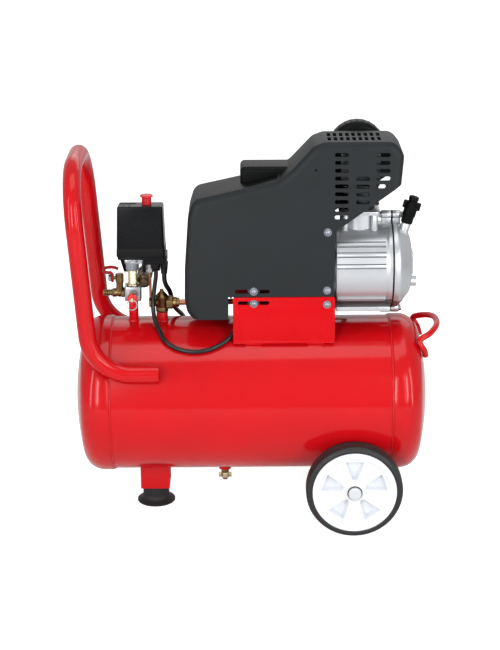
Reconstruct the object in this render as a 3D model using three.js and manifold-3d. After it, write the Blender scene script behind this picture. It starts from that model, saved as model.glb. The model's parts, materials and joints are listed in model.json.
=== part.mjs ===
// A direct-drive air compressor on a 24 litre tank, in millimetres.
// X runs along the tank, the push handle at its low end. Y runs away from the side with the slots. Z is up.
// The origin lies on the ground under the middle of the machine.
import * as THREE from "three";
import { mergeVertices } from "three/addons/utils/BufferGeometryUtils.js";
import Module from "manifold-3d";

const wasm = await Module();
wasm.setup();

// Fits that many pieces share
const GAP = 0.3; // between pieces that touch
const RUNNING = 0.6; // round a shaft that turns
const OVERRUN = 4; // how far a cutter runs past what it cuts
const WELD_SHARE = 1e-5; // vertices closer than this share of the tank's radius are one
const ROUNDING_SHARE = 0.98; // of an edge's half, which a rounded corner may take

// Counts of sides and steps
const HEX = 6;
const TINY = 8;
const SMALL = 10;
const ROUND = 16;
const MEDIUM = 24;
const FINE = 28;
const LARGE = 32;
const BEND_STEPS = 5;
const CORNER_STEPS = 3;

// Tank
const TANK = {
  radius: 121,
  wall: 2.2,
  clearance: 67,
  centreX: -11.5,
  halfSeam: 218.5,
  lap: 12,
  skirt: 14.5,
  knuckle: 32,
  endAngle: THREE.MathUtils.degToRad(14),
};
const tankAxis = TANK.clearance + TANK.radius;
const tankTop = tankAxis + TANK.radius;
const seamX = TANK.centreX + TANK.halfSeam;
const RISER = { x: -195.5, radius: 7.5, height: 34.7 };
const VALVE_BOSS = { x: -151, radius: 9, height: 14 };
const DRAIN_BOSS = { x: -55, radius: 10, height: 12 };

// Heights over the tank's top, at which it carries the other pieces
const OVER_TANK = {
  handleTop: 257,
  plateTop: 57,
  plateSlot: 48,
  plateHole: 45,
  plateHem: -13,
  cowl: 23,
  adjuster: 66.5,
  pipeNotch: 41,
  shaft: 91,
  pipe: 29,
  pipeLow: 17,
  pipeSide: 36,
  pipeTop: 126,
  pipeBack: 169,
  pipeInlet: 247,
  switch: 110,
  housing: 96,
  leadGland: 85,
  cordGland: 75.4,
  knobTop: 203,
  unloaderFitting: 79,
  safety: 44,
  cock: 47,
  cockColumn: 78,
  cockSpindle: 71,
  regulator: 58,
  gauge: 112,
};

// Handles
const PUSH = {
  tube: 12.8,
  wall: 2,
  bore: 16,
  legHeight: 72,
  legEndX: -152,
  footX: -255.2,
  topX: -278.2,
  topZ: tankTop + OVER_TANK.handleTop,
  lowBend: 66,
  topBend: 82,
};
const LIFT = {
  rod: 4.8,
  azimuth: THREE.MathUtils.degToRad(33),
  toeAngle: THREE.MathUtils.degToRad(12.6),
  heelAngle: THREE.MathUtils.degToRad(31),
  root: 42.5,
  rootY: 57.8,
  rootDrop: 18.2,
  shoulder: 59,
  shoulderY: 46,
  shoulderDrop: 10,
  corner: 70.6,
  cornerY: 24,
  cornerDrop: 5,
  reach: 73.6,
  reachDrop: 4,
};

// Foot and wheels
const FOOT = {
  x: -167.5,
  width: 46.5,
  depth: 48,
  sheet: 3,
  height: 29.5,
  radius: 21,
  flare: 30.5,
  brim: 3.5,
  slopeTop: 9.5,
};
const WHEEL = {
  x: 146.5,
  y: 131,
  radius: 75,
  width: 32,
  shoulder: 2.5,
  tread: 10.1,
  lip: 9,
  barrel: 5,
  dish: 4,
  web: 16,
  pocketDepth: 12,
  pocketInner: 18,
  pocketMargin: 6.9,
  pocketInnerHalf: 3.6,
  pocketOuterHalf: 15,
  hub: 14,
  hubTail: 3.7,
};
const POCKETS = 5;
const BOLT = { radius: 5, cap: 10, capLength: 5.7, collar: 9, nut: 7.8, nutLength: 6 };
const AXLE = { sheet: 4, width: 50, halfSpan: 108, earHeight: 32.3 };

// Plates that carry the pump
const PLATE = {
  lowX: -39,
  highX: 117.5,
  y: 64.5,
  sheet: 2.5,
  top: tankTop + OVER_TANK.plateTop,
  corner: 4,
  slotLowX: -31.7,
  slotHighX: 16.8,
  slotZ: tankTop + OVER_TANK.plateSlot,
  slotHalf: 3,
  holeX: 105,
  holeZ: tankTop + OVER_TANK.plateHole,
  hole: 3,
  hemZ: tankTop + OVER_TANK.plateHem,
};
// Where along the tank each plate's foot reaches down to it
const PLATE_TABS = [
  [-20.5, 4.2],
  [75.2, 101.4],
];

// Cowl
const COWL = {
  lowX: -113,
  lowZ: tankTop + OVER_TANK.cowl,
  past: 65, // beyond the cylinder's axis
  headroom: 20, // over the cylinder's head
  halfDepth: 70.7,
  draughtShare: 0.092, // of the height over the cowl's foot, lost from its half depth
  wall: 2.5,
  edge: 12,
  fillet: 18,
};
const COWL_SLOT = { length: 21, half: 3.1, pitch: 11.8 };
// Columns of slots, each so far back from the cowl's high end and below its top
const COWL_SLOTS = [
  { back: 94.4, drop: 18, count: 9 },
  { back: 62.5, drop: 54, count: 4 },
  { back: 32, drop: 18.5, count: 4 },
];
const COWL_SHORT_SLOT = { back: 35.5, drop: 65.7, length: 14 };
const GRILLE = { back: 115, pitch: 9.4, count: 9, width: 5.5, nearY: -27.5, length: 23, rowPitch: 30 };
const GRILLE_ROWS = 2;
const ADJUSTER = { lowX: -35.6, highX: 17.9, z: tankTop + OVER_TANK.adjuster, half: 3 };
const HUMP = {
  lowX: -26.6,
  highX: 62,
  nearY: -10,
  farY: 48,
  rootShare: 0.643, // of the cowl's height
  height: 51,
  corner: 4,
};
const PIPE_NOTCH = { nearY: -12, farY: 12, top: tankTop + OVER_TANK.pipeNotch };

// Motor and pump, measured from the shaft's axis
const PUMP = {
  axisZ: tankTop + OVER_TANK.shaft,
  barrel: 58,
  body: 66,
  bodyLowX: 119.5,
  cavity: 56,
  well: 50,
  lowX: 92.3,
  highX: 205.7,
  endWall: 8,
  bearing: 20,
  bearingX: 125,
  flange: 68,
  flangeWidth: 5.7,
  ear: 7,
  earWidth: 14.7,
  earTop: 78,
  earBottom: 73,
  neck: 27,
  neckTop: 84,
  neckRoot: 40,
  neckBore: 22.5,
  boss: 5.8,
  bossRoot: 44,
  bossReach: 22.5,
  foot: 61.5,
  footSheet: 7.4,
  footLowX: 119,
  footHighX: 203,
  footNearY: -55,
  footFarY: 34,
  ribLowX: 120,
  ribHighX: 196,
  rib: 2.6,
  rail: 4,
  railZ: -41,
};
const RIB_HEIGHTS = [43.9, 30, 13.5];
const LUG = { lowX: 97, highX: 113, inner: 40, low: -54, step: -34.6, high: -16 };
const YOKE = { lowX: 102, highX: 108, low: 44, high: 74 };
const SHIELD_LUG = { lowX: -16 };
const COVER = {
  gasket: 1.4,
  gasketRadius: 68.6,
  wall: 4,
  flangeWidth: 5.3,
  earWidth: 12.3,
  shoulder: 66,
  shoulderAt: 10.3,
  brow: 53,
  browAt: 20.3,
  cheek: 44,
  cheekAt: 27.3,
  crown: 30,
  crownAt: 30.3,
  tip: 32.3,
  padAt: 33.3,
  padHalf: 15,
  padLow: -15,
  padHigh: 20,
  sight: 8,
  sightY: -14,
  sightZ: -25,
  sightAt: 38,
};
const BREATHER = {
  x: 228.3,
  y: -15,
  z: 68.9,
  tilt: THREE.MathUtils.degToRad(16),
  neck: 7.5,
  neckLength: 28,
  length: 43,
  radius: 8.9,
  waist: 7,
  grip: 10.2,
  top: 7.8,
  wing: 13.8,
  wingHalf: 2.6,
};
// Where along its length the breather's grip starts, its wings sit, and its grip and neck end.
const BREATHER_SHARES = { grip: 0.25, wings: 0.66, wingWidth: 0.3, gripEnd: 0.76, neck: 0.86 };
const CYLINDER = {
  x: 156,
  bore: 21.3,
  flange: 31,
  flangeHeight: 5.7,
  height: 56.2,
  core: 25,
  fin: 30,
  finSheet: 2,
  valvePlate: 3.7,
  head: 36.2,
  chamber: 22,
  chamberHalf: 10,
  chamberDepth: 24,
  port: 3,
};
const FINS = 5;
const CRANK = { throw: 20, rod: 102, shaft: 8, lowX: -70, disc: 34, discLowX: 136, discHighX: 146, pin: 6 };
const ROD = { big: 13, small: 9, half: 6, shankHalf: 5, shankWidth: 4 };
const PISTON = { radius: 21, below: 12, above: 16, crown: 6, skirt: 3.5, pin: 5 };
const STATOR = { radius: 56, bore: 31, lowX: 2.3 };
const ROTOR = { radius: 30, lowX: 12, highX: 80 };
const SHIELD = { wall: 8, disc: 6, hub: 16, hubDepth: 12 };
const FAN = { radius: 54, disc: 3, lowX: -62, highX: -41, hub: 14, blade: 2.5 };
const BLADES = 8;
const CAPACITOR = { radius: 18, lowX: -21, highX: 48, y: 19, cap: 3 };
const FILTER = { radius: 44, z: 167.6, length: 34, round: 7, spigot: 12, seat: 8, bore: 9 };

// Delivery pipe and its valve
const PIPE = {
  radius: 4.5,
  z: tankTop + OVER_TANK.pipe,
  startX: -123.2,
  bend: 14,
  lastBend: 9,
  lowZ: tankTop + OVER_TANK.pipeLow,
  runY: 42,
  sideY: 72,
};
const PIPE_RUN = {
  firstX: -50,
  secondX: -20,
  riseX: 140,
  sideZ: tankTop + OVER_TANK.pipeSide,
  topZ: tankTop + OVER_TANK.pipeTop,
  backZ: tankTop + OVER_TANK.pipeBack,
  inletZ: tankTop + OVER_TANK.pipeInlet,
};
const VALVE = {
  radius: 10,
  high: 11,
  cone: 7,
  tip: 3,
  tipHeight: 4,
  neck: 6.5,
  nut: 11,
  nutLowX: -144,
  plug: 8.1,
  plugHighX: -162,
  plugLowX: -171,
};

// Pressure switch
const SWITCH = {
  lowX: -218.4,
  highX: -143.4,
  topLowX: -215.4,
  topHighX: -148.4,
  halfY: 26,
  topHalfY: 24.5,
  z: tankTop + OVER_TANK.switch,
  height: 80,
  fall: 9, // of the top towards the far side
  wall: 2,
  corner: 5,
  baseInset: 2,
  base: 4.3,
  block: 61,
  blockLowX: -190,
  blockHighX: -150,
  blockHalf: 15,
};
const HOUSING = { lowX: -176, highX: -141, halfY: 19, z: tankTop + OVER_TANK.housing };
const GUSSET = { lowX: -218.4, highX: -200, nearY: 12.5, farY: 20, drop: 30, slant: 10 };
const LEAD_GLAND = { x: -158.5, y: -11, radius: 7, z: tankTop + OVER_TANK.leadGland };
const CORD_GLAND = {
  x: -146.5,
  y: 2,
  radius: 7,
  collar: 5.4,
  tip: 4.7,
  collarLength: 12,
  z: tankTop + OVER_TANK.cordGland,
};
const ZINC = { lowX: -206, highX: -178.5, nearY: -22, farY: 8, sheet: 2, flange: 6.2 };
const KNOB = {
  x: -171,
  flange: 10.2,
  flangeHeight: 3,
  stem: 7.6,
  top: tankTop + OVER_TANK.knobTop,
  hole: 8.2,
};
const UNLOADER = { x: -168.5, radius: 2, fitting: 6, fittingZ: tankTop + OVER_TANK.unloaderFitting };

// Manifold under the switch
const MANIFOLD = { half: 13, height: 23, chamfer: 2 };
const NIPPLE = { hex: 8.1, washer: 10.5, washerHeight: 2.7, nut: 11.5, nutHeight: 20 };
const SAFETY = {
  z: tankTop + OVER_TANK.safety,
  hex: 7.5,
  hexLength: 5,
  barrel: 6,
  length: 12.5,
  cap: 7.5,
  capLength: 6.5,
  stem: 3.2,
  stemLength: 5,
  eye: 1.7,
  ring: 8,
  wire: 0.8,
  eyeBack: 2.2,
};
const COCK = {
  y: -4,
  z: tankTop + OVER_TANK.cock,
  body: 7,
  bodyX: -228,
  barb: 5.3,
  barbX: -242.6,
  column: 6.5,
  columnX: -216,
  columnTop: tankTop + OVER_TANK.cockColumn,
  spindleZ: tankTop + OVER_TANK.cockSpindle,
  spindle: 3,
  spindleX: -233.5,
  nut: 5.5,
  nutX: -229.6,
  hub: 7,
  hubLowX: -229,
  hubHighX: -225,
  arm: 2.2,
};
const REGULATOR = {
  x: -180,
  z: tankTop + OVER_TANK.regulator,
  radius: 11,
  length: 36.7,
  knob: 12,
  knobLength: 22,
  neck: 6,
  neckLength: 6,
};
const GAUGE = {
  y: 36,
  z: tankTop + OVER_TANK.gauge,
  radius: 20,
  depth: 14,
  bezel: 2.5,
  recess: 4,
  stem: 4,
  stemY: 43,
  pin: 1.1,
  needle: 14,
  needleHalf: 0.8,
  needleHub: 2.6,
  needleSheet: 1,
  zero: THREE.MathUtils.degToRad(135),
};
const DRAIN = {
  hex: 7,
  hexHeight: 6,
  shank: 4,
  shankHeight: 13,
  tap: 6.5,
  tapHeight: 9,
  wing: 10.5,
  wingHalf: 1.3,
};

// Cords
const LEAD = { radius: 3.4, sides: 8, steps: 24 };
const CORD = { radius: 3.75, sides: 8, steps: 32 };
const COIL = { x: -60, y: 208, inner: 32, pitch: 8.1, layer: 8.1, lift: 1.1, tuck: 2, tail: 50, sides: 6 };
const COIL_TURNS = 2.3;
const LOOP_STEPS = 22;
const COIL_START = THREE.MathUtils.degToRad(-90);
const TIE = { angle: THREE.MathUtils.degToRad(215), sheet: 0.8, width: 9 };
const PLUG = {
  radius: 19,
  z: 19.3,
  length: 38,
  neck: 6.5,
  neckLength: 12,
  pin: 2.4,
  pinLength: 19,
  pinSpread: 9.5,
};

// Places worked out from the sizes above
const riserTop = tankTop + RISER.height;
const blockLow = riserTop + GAP;
const blockTop = blockLow + MANIFOLD.height;
const switchFloor = SWITCH.z - GAP - SWITCH.base;
const cylinderLow = PUMP.axisZ + PUMP.neckTop + GAP;
const cylinderTop = cylinderLow + CYLINDER.height;
const valvePlateTop = cylinderTop + GAP + CYLINDER.valvePlate;
const headLow = valvePlateTop + GAP;
const cowlHighX = CYLINDER.x + COWL.past;
const cowlLength = cowlHighX - COWL.lowX;
const cowlTop = headLow + CYLINDER.head + COWL.headroom;
const cowlHeight = cowlTop - COWL.lowZ;
const humpRoot = COWL.lowZ + cowlHeight * HUMP.rootShare;
const humpTop = humpRoot + HUMP.height;
const rimRadius = WHEEL.radius - WHEEL.tread;
const pocketOuter = rimRadius - WHEEL.lip - WHEEL.pocketMargin;
const coilOuter = COIL.inner + COIL.pitch * COIL_TURNS;
const coilLow = COIL.lift + CORD.radius;

const X_AXIS = new THREE.Vector3(1, 0, 0);
const Y_AXIS = new THREE.Vector3(0, 1, 0);
const Z_AXIS = new THREE.Vector3(0, 0, 1);

// Solids

// A closed geometry as a solid that can be joined and cut, its faces turned outwards.
function solid(geometry) {
  const bare = geometry.clone();
  bare.deleteAttribute("normal");
  bare.deleteAttribute("uv");
  const merged = mergeVertices(bare, TANK.radius * WELD_SHARE);
  const corners = merged.index.array;
  const kept = [];
  for (let at = 0; at < corners.length; at += 3) {
    const [a, b, c] = corners.slice(at, at + 3);
    if (a !== b && b !== c && c !== a) kept.push(a, b, c);
  }
  const vertProperties = merged.attributes.position.array;
  const make = (triVerts) => new wasm.Manifold(new wasm.Mesh({ numProp: 3, vertProperties, triVerts }));
  const made = make(Uint32Array.from(kept));
  return made.volume() > 0 ? made : make(Uint32Array.from(kept.reverse()));
}

function join(...bodies) {
  return bodies.reduce((whole, body) => whole.add(body));
}

function cut(body, ...tools) {
  return tools.reduce((left, tool) => left.subtract(tool), body);
}

function geometryOf(body) {
  const mesh = body.getMesh();
  const geometry = new THREE.BufferGeometry();
  geometry.setAttribute("position", new THREE.BufferAttribute(Float32Array.from(mesh.vertProperties), 3));
  geometry.setIndex(new THREE.BufferAttribute(Uint32Array.from(mesh.triVerts), 1));
  geometry.computeVertexNormals();
  return geometry;
}

// A named mesh with a material of its own.
function piece(name, body, [color, roughness, metalness]) {
  const finish = new THREE.MeshStandardMaterial({ color, roughness, metalness });
  const mesh = new THREE.Mesh(geometryOf(body), finish);
  mesh.name = name;
  return mesh;
}

function box([lowX, lowY, lowZ], [highX, highY, highZ]) {
  const geometry = new THREE.BoxGeometry(highX - lowX, highY - lowY, highZ - lowZ);
  return solid(geometry.translate((lowX + highX) / 2, (lowY + highY) / 2, (lowZ + highZ) / 2));
}

// A round bar between two points, or a cone, or with few sides a hexagon.
function rod(from, to, radius, sides = SMALL, endRadius = radius) {
  const start = new THREE.Vector3(...from);
  const along = new THREE.Vector3(...to).sub(start);
  const middle = along.clone().multiplyScalar(1 / 2).add(start);
  const geometry = new THREE.CylinderGeometry(endRadius, radius, along.length(), sides);
  geometry.applyQuaternion(new THREE.Quaternion().setFromUnitVectors(Y_AXIS, along.normalize()));
  return solid(geometry.translate(middle.x, middle.y, middle.z));
}

// A profile of [radius, distance along the axis] turned about an axis through a point.
function turned(profile, origin, direction, sides = ROUND) {
  const geometry = new THREE.LatheGeometry(
    profile.map(([radius, along]) => new THREE.Vector2(radius, along)),
    sides,
  );
  geometry.applyQuaternion(new THREE.Quaternion().setFromUnitVectors(Y_AXIS, direction));
  return solid(geometry.translate(...origin));
}

// A ring of rectangular section about an axis.
function ring(outer, inner, low, high, origin, direction, sides = ROUND) {
  const profile = [
    [inner, low],
    [outer, low],
    [outer, high],
    [inner, high],
    [inner, low],
  ];
  return turned(profile, origin, direction, sides);
}

// Where an outline's own plane goes for a prism along each axis, and which end it starts from.
const PRISM_FRAMES = {
  x: { frame: new THREE.Matrix4().makeBasis(Y_AXIS, Z_AXIS, X_AXIS), start: (low) => [low, 0, 0] },
  y: {
    frame: new THREE.Matrix4().makeBasis(X_AXIS, Z_AXIS, Y_AXIS.clone().negate()),
    start: (low, high) => [0, high, 0],
  },
  z: { frame: new THREE.Matrix4(), start: (low) => [0, 0, low] },
};

function prismGeometry(outline, axis, low, high, edge = 0, bevelSegments = CORNER_STEPS) {
  const geometry = new THREE.ExtrudeGeometry(new THREE.Shape(outline), {
    depth: high - low - 2 * edge,
    bevelEnabled: edge > 0,
    bevelThickness: edge,
    bevelSize: edge,
    bevelOffset: -edge,
    bevelSegments,
  });
  const { frame, start } = PRISM_FRAMES[axis];
  return geometry.translate(0, 0, edge).applyMatrix4(frame).translate(...start(low, high));
}

function prism(outline, axis, low, high, edge = 0) {
  return solid(prismGeometry(outline, axis, low, high, edge));
}

const flat = (points) => points.map(([x, y]) => new THREE.Vector2(x, y));

function rectangle(lowX, lowY, highX, highY) {
  return flat([
    [lowX, lowY],
    [highX, lowY],
    [highX, highY],
    [lowX, highY],
  ]);
}

// An outline with its corners rounded, each by a radius of its own or by one for all.
function rounded(points, radii, steps = CORNER_STEPS) {
  return points.flatMap((corner, at) => {
    const back = points[(at + points.length - 1) % points.length].clone().sub(corner);
    const on = points[(at + 1) % points.length].clone().sub(corner);
    const room = Math.min(back.length(), on.length()) / 2;
    const half = Math.acos(THREE.MathUtils.clamp(back.normalize().dot(on.normalize()), -1, 1)) / 2;
    const radius = Math.min(Array.isArray(radii) ? radii[at] : radii, room * Math.tan(half) * ROUNDING_SHARE);
    if (radius <= 0 || half > Math.PI * 0.49) return [corner.clone()];
    const middle = back.clone().add(on).normalize().multiplyScalar(radius / Math.sin(half)).add(corner);
    const start = back.clone().multiplyScalar(radius / Math.tan(half)).add(corner);
    const turn = Math.sign(back.cross(on)) * (Math.PI - 2 * half);
    const count = Math.ceil((Math.abs(turn) / Math.PI) * 2 * steps);
    return Array.from({ length: count + 1 }, (_, step) =>
      start.clone().rotateAround(middle, (-turn * step) / count),
    );
  });
}

// An outline, run clockwise or not, with each edge moved inwards by its own amount.
function inset(points, amounts) {
  const turn = THREE.ShapeUtils.isClockWise(points) ? -1 : 1;
  const lines = points.map((point, at) => {
    const along = points[(at + 1) % points.length].clone().sub(point).normalize();
    const inwards = new THREE.Vector2(-along.y, along.x).multiplyScalar(turn * amounts[at]);
    return { along, through: point.clone().add(inwards) };
  });
  return lines.map((line, at) => {
    const last = lines[(at + lines.length - 1) % lines.length];
    const across = last.along.cross(line.along);
    const between = line.through.clone().sub(last.through);
    return last.through.clone().addScaledVector(last.along, between.cross(line.along) / across);
  });
}

// A slot's outline about its middle line.
function slotOutline(lowX, highX, y, half) {
  return rectangle(lowX, y - half, highX, y + half);
}

function mapVertices(geometry, place) {
  const at = geometry.attributes.position;
  const point = new THREE.Vector3();
  for (let index = 0; index < at.count; index += 1) {
    place(point.fromBufferAttribute(at, index));
    at.setXYZ(index, point.x, point.y, point.z);
  }
  return geometry;
}

// Tubes

// A curve that passes through its points and puts a ring of the tube on each of them.
class Route extends THREE.Curve {
  constructor(points) {
    super();
    this.points = points;
  }

  getPoint(t, target = new THREE.Vector3()) {
    const place = t * (this.points.length - 1);
    const index = Math.min(Math.floor(place), this.points.length - 2);
    return target.lerpVectors(this.points[index], this.points[index + 1], place - index);
  }

  getPointAt(u, target) {
    return this.getPoint(u, target);
  }

  getTangentAt(u, target = new THREE.Vector3()) {
    const index = Math.round(u * (this.points.length - 1));
    const before = this.points[Math.max(index - 1, 0)];
    const after = this.points[Math.min(index + 1, this.points.length - 1)];
    return target.subVectors(after, before).normalize();
  }
}

function circle(radius, sides) {
  return Array.from({ length: sides }, (_, side) => {
    const angle = (side / sides) * 2 * Math.PI;
    return new THREE.Vector2(radius * Math.cos(angle), radius * Math.sin(angle));
  });
}

function tube(points, radius, sides) {
  const settings = { steps: points.length - 1, extrudePath: new Route(points) };
  return solid(new THREE.ExtrudeGeometry(new THREE.Shape(circle(radius, sides)), settings));
}

const spatial = (points) => points.map((point) => new THREE.Vector3(...point));

// Straight runs between corners, joined by bends of the given radii.
function bentRoute(corners, radii, steps = BEND_STEPS) {
  const [first, ...rest] = spatial(corners);
  const last = rest.pop();
  const route = [first];
  rest.forEach((corner, at) => {
    const back = (at === 0 ? first : rest[at - 1]).clone().sub(corner).normalize();
    const on = (at === rest.length - 1 ? last : rest[at + 1]).clone().sub(corner).normalize();
    const half = back.angleTo(on) / 2;
    const middle = back.clone().add(on).normalize().multiplyScalar(radii[at] / Math.sin(half)).add(corner);
    const start = back.clone().multiplyScalar(radii[at] / Math.tan(half)).add(corner).sub(middle);
    const axis = back.clone().cross(on).negate().normalize();
    for (let step = 0; step <= steps; step += 1) {
      const turn = (Math.PI - 2 * half) * (step / steps);
      route.push(start.clone().applyAxisAngle(axis, turn).add(middle));
    }
  });
  return [...route, last];
}

// A smooth route through hand-set points, straight over the first and last diameter.
function cordRoute(points, steps, radius) {
  const places = spatial(points);
  const [start, afterStart] = places;
  const [beforeEnd, end] = places.slice(-2);
  const straight = 2 * radius;
  const first = afterStart.clone().sub(start).setLength(straight).add(start);
  const last = beforeEnd.clone().sub(end).setLength(straight).add(end);
  const curve = new THREE.CatmullRomCurve3([first, ...places.slice(1, -1), last], false, "centripetal");
  return [start, ...curve.getSpacedPoints(steps - 2), end];
}

function routeLength(points) {
  return points.slice(1).reduce((sum, point, at) => sum + point.distanceTo(points[at]), 0);
}

const NEIGHBOUR = 8; // radii along a tube that count as one stretch of it

// The least gap between a tube and itself, beyond the stretch that is its own neighbour.
function leastGap(points, radius) {
  const reach = points.map((point, at) => routeLength(points.slice(0, at + 1)));
  let least = Infinity;
  points.forEach((point, at) => {
    for (let other = at + 1; other < points.length; other += 1) {
      if (reach[other] - reach[at] > NEIGHBOUR * radius) {
        least = Math.min(least, point.distanceTo(points[other]));
      }
    }
  });
  return least - 2 * radius;
}

// Finishes: colour, roughness, metalness
const RED_PAINT = [0xc4161c, 0.3, 0.2];
const BLACK_PLASTIC = [0x33373a, 0.6, 0];
const GLOSS_BLACK = [0x1d2023, 0.3, 0];
const RUBBER = [0x202224, 0.8, 0];
const WHITE_PLASTIC = [0xeceff4, 0.4, 0];
const CAST = [0xb4b8bb, 0.45, 0.8];
const STEEL = [0xa9adb0, 0.35, 0.9];
const ZINC_PLATED = [0xd2d5d8, 0.3, 0.9];
const BRASS = [0xa8854d, 0.35, 0.9];
const COPPER = [0xb0603c, 0.35, 0.9];
const RED_PLASTIC = [0xd2232c, 0.4, 0];

// Tank

// The outside of a pressed head, or a surface inset from it, from its skirt's edge to its pole.
function headCurve(depth, knuckleSteps, crownSteps) {
  const outer = TANK.radius + GAP + TANK.wall;
  const knuckleAt = outer - TANK.knuckle;
  const points = [[outer - depth, 0]];
  for (let step = 0; step <= knuckleSteps; step += 1) {
    const angle = THREE.MathUtils.lerp(Math.PI / 2, TANK.endAngle, step / knuckleSteps);
    const radius = TANK.knuckle - depth;
    points.push([knuckleAt + radius * Math.sin(angle), TANK.skirt + radius * Math.cos(angle)]);
  }
  const crown = (knuckleAt + TANK.knuckle * Math.sin(TANK.endAngle)) / Math.sin(TANK.endAngle);
  const crownAt = TANK.skirt + (TANK.knuckle - crown) * Math.cos(TANK.endAngle);
  for (let step = 1; step <= crownSteps; step += 1) {
    const angle = TANK.endAngle * (1 - step / crownSteps);
    points.push([(crown - depth) * Math.sin(angle), crownAt + (crown - depth) * Math.cos(angle)]);
  }
  return points;
}

function tankHead(name, side) {
  const profile = [...headCurve(0, BEND_STEPS, 2).reverse(), ...headCurve(TANK.wall, 2, 1)];
  const origin = [TANK.centreX + side * TANK.halfSeam, 0, tankAxis];
  return piece(name, turned(profile, origin, X_AXIS.clone().multiplyScalar(side), LARGE), RED_PAINT);
}

function tankShell() {
  const half = TANK.halfSeam + TANK.lap;
  const inner = TANK.radius - TANK.wall;
  const barrel = ring(TANK.radius, inner, -half, half, [TANK.centreX, 0, tankAxis], X_AXIS, LARGE);
  const root = TANK.wall / 2;
  const bosses = [RISER, VALVE_BOSS].map(({ x, radius, height }) =>
    rod([x, 0, tankTop - root], [x, 0, tankTop + height], radius, ROUND),
  );
  const drain = rod(
    [DRAIN_BOSS.x, 0, TANK.clearance + root],
    [DRAIN_BOSS.x, 0, TANK.clearance - DRAIN_BOSS.height],
    DRAIN_BOSS.radius,
    ROUND,
  );
  return piece("tank_shell", join(barrel, ...bosses, drain), RED_PAINT);
}

// The space that the tank fills, with room to touch it, for what is shaped to lie against it.
function tankCutter() {
  const half = TANK.halfSeam + TANK.lap;
  const centre = [TANK.centreX, 0, tankAxis];
  return rod([centre[0] - half, 0, tankAxis], [centre[0] + half, 0, tankAxis], TANK.radius + GAP, LARGE);
}

function pushHandle() {
  const legY = Math.sqrt((TANK.radius + GAP + PUSH.tube) ** 2 - PUSH.legHeight ** 2);
  const legZ = tankAxis + PUSH.legHeight;
  const corners = [
    [PUSH.legEndX, -legY, legZ],
    [PUSH.footX, -legY, legZ],
    [PUSH.topX, -legY, PUSH.topZ],
    [PUSH.topX, legY, PUSH.topZ],
    [PUSH.footX, legY, legZ],
    [PUSH.legEndX, legY, legZ],
  ];
  const radii = [PUSH.lowBend, PUSH.topBend, PUSH.topBend, PUSH.lowBend];
  const bar = tube(bentRoute(corners, radii), PUSH.tube, SMALL);
  const bores = [-legY, legY].map((y) =>
    rod([PUSH.legEndX - PUSH.bore, y, legZ], [PUSH.legEndX + OVERRUN, y, legZ], PUSH.tube - PUSH.wall, SMALL),
  );
  return piece("push_handle", cut(bar, ...bores), RED_PAINT);
}

// A place off the rear head where its surface leans by an angle, with room for a rod to lie on it.
function offHead(angle, azimuth, clear) {
  const knuckleAt = TANK.radius + GAP + TANK.wall - TANK.knuckle;
  const crown = (knuckleAt + TANK.knuckle * Math.sin(TANK.endAngle)) / Math.sin(TANK.endAngle);
  const onCrown = angle < TANK.endAngle;
  const radius = (onCrown ? crown : TANK.knuckle) + clear;
  const centre = onCrown ? TANK.skirt + (TANK.knuckle - crown) * Math.cos(TANK.endAngle) : TANK.skirt;
  const out = (onCrown ? 0 : knuckleAt) + radius * Math.sin(angle);
  const x = seamX + centre + radius * Math.cos(angle);
  return [x, out * Math.sin(azimuth), tankAxis + out * Math.cos(azimuth)];
}

function liftHandle() {
  const clear = LIFT.rod + GAP;
  const middleAngle = (TANK.endAngle + LIFT.heelAngle) / 2;
  const half = [
    offHead(LIFT.toeAngle, LIFT.azimuth, clear),
    offHead(TANK.endAngle, LIFT.azimuth, clear + GAP),
    offHead(middleAngle, LIFT.azimuth, clear + GAP),
    offHead(LIFT.heelAngle, LIFT.azimuth, clear),
    [seamX + LIFT.root, LIFT.rootY, tankTop - LIFT.rootDrop],
    [seamX + LIFT.shoulder, LIFT.shoulderY, tankTop - LIFT.shoulderDrop],
    [seamX + LIFT.corner, LIFT.cornerY, tankTop - LIFT.cornerDrop],
  ];
  const mirrored = half.map(([x, y, z]) => [x, -y, z]).reverse();
  const middle = [seamX + LIFT.reach, 0, tankTop - LIFT.reachDrop];
  const curve = new THREE.CatmullRomCurve3(spatial([...half, middle, ...mirrored]));
  return piece("lift_handle", tube(curve.getSpacedPoints(MEDIUM), LIFT.rod, TINY), RED_PAINT);
}

// Foot and wheels

function footBracket() {
  const half = FOOT.depth / 2;
  const top = TANK.clearance + FOOT.sheet + OVERRUN;
  const floor = FOOT.height + FOOT.sheet;
  const outline = flat([
    [-half, FOOT.height],
    [half, FOOT.height],
    [half, top],
    [half - FOOT.sheet, top],
    [half - FOOT.sheet, floor],
    [FOOT.sheet - half, floor],
    [FOOT.sheet - half, top],
    [-half, top],
  ]);
  const channel = prism(outline, "x", FOOT.x - FOOT.width / 2, FOOT.x + FOOT.width / 2);
  return piece("foot_bracket", cut(channel, tankCutter()), RED_PAINT);
}

function rubberFoot() {
  const profile = [
    [0, 0],
    [FOOT.flare, 0],
    [FOOT.flare, FOOT.brim],
    [FOOT.radius, FOOT.slopeTop],
    [FOOT.radius, FOOT.height - GAP],
    [0, FOOT.height - GAP],
  ];
  return piece("rubber_foot", turned(profile, [FOOT.x, 0, 0], Z_AXIS, MEDIUM), RUBBER);
}

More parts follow.
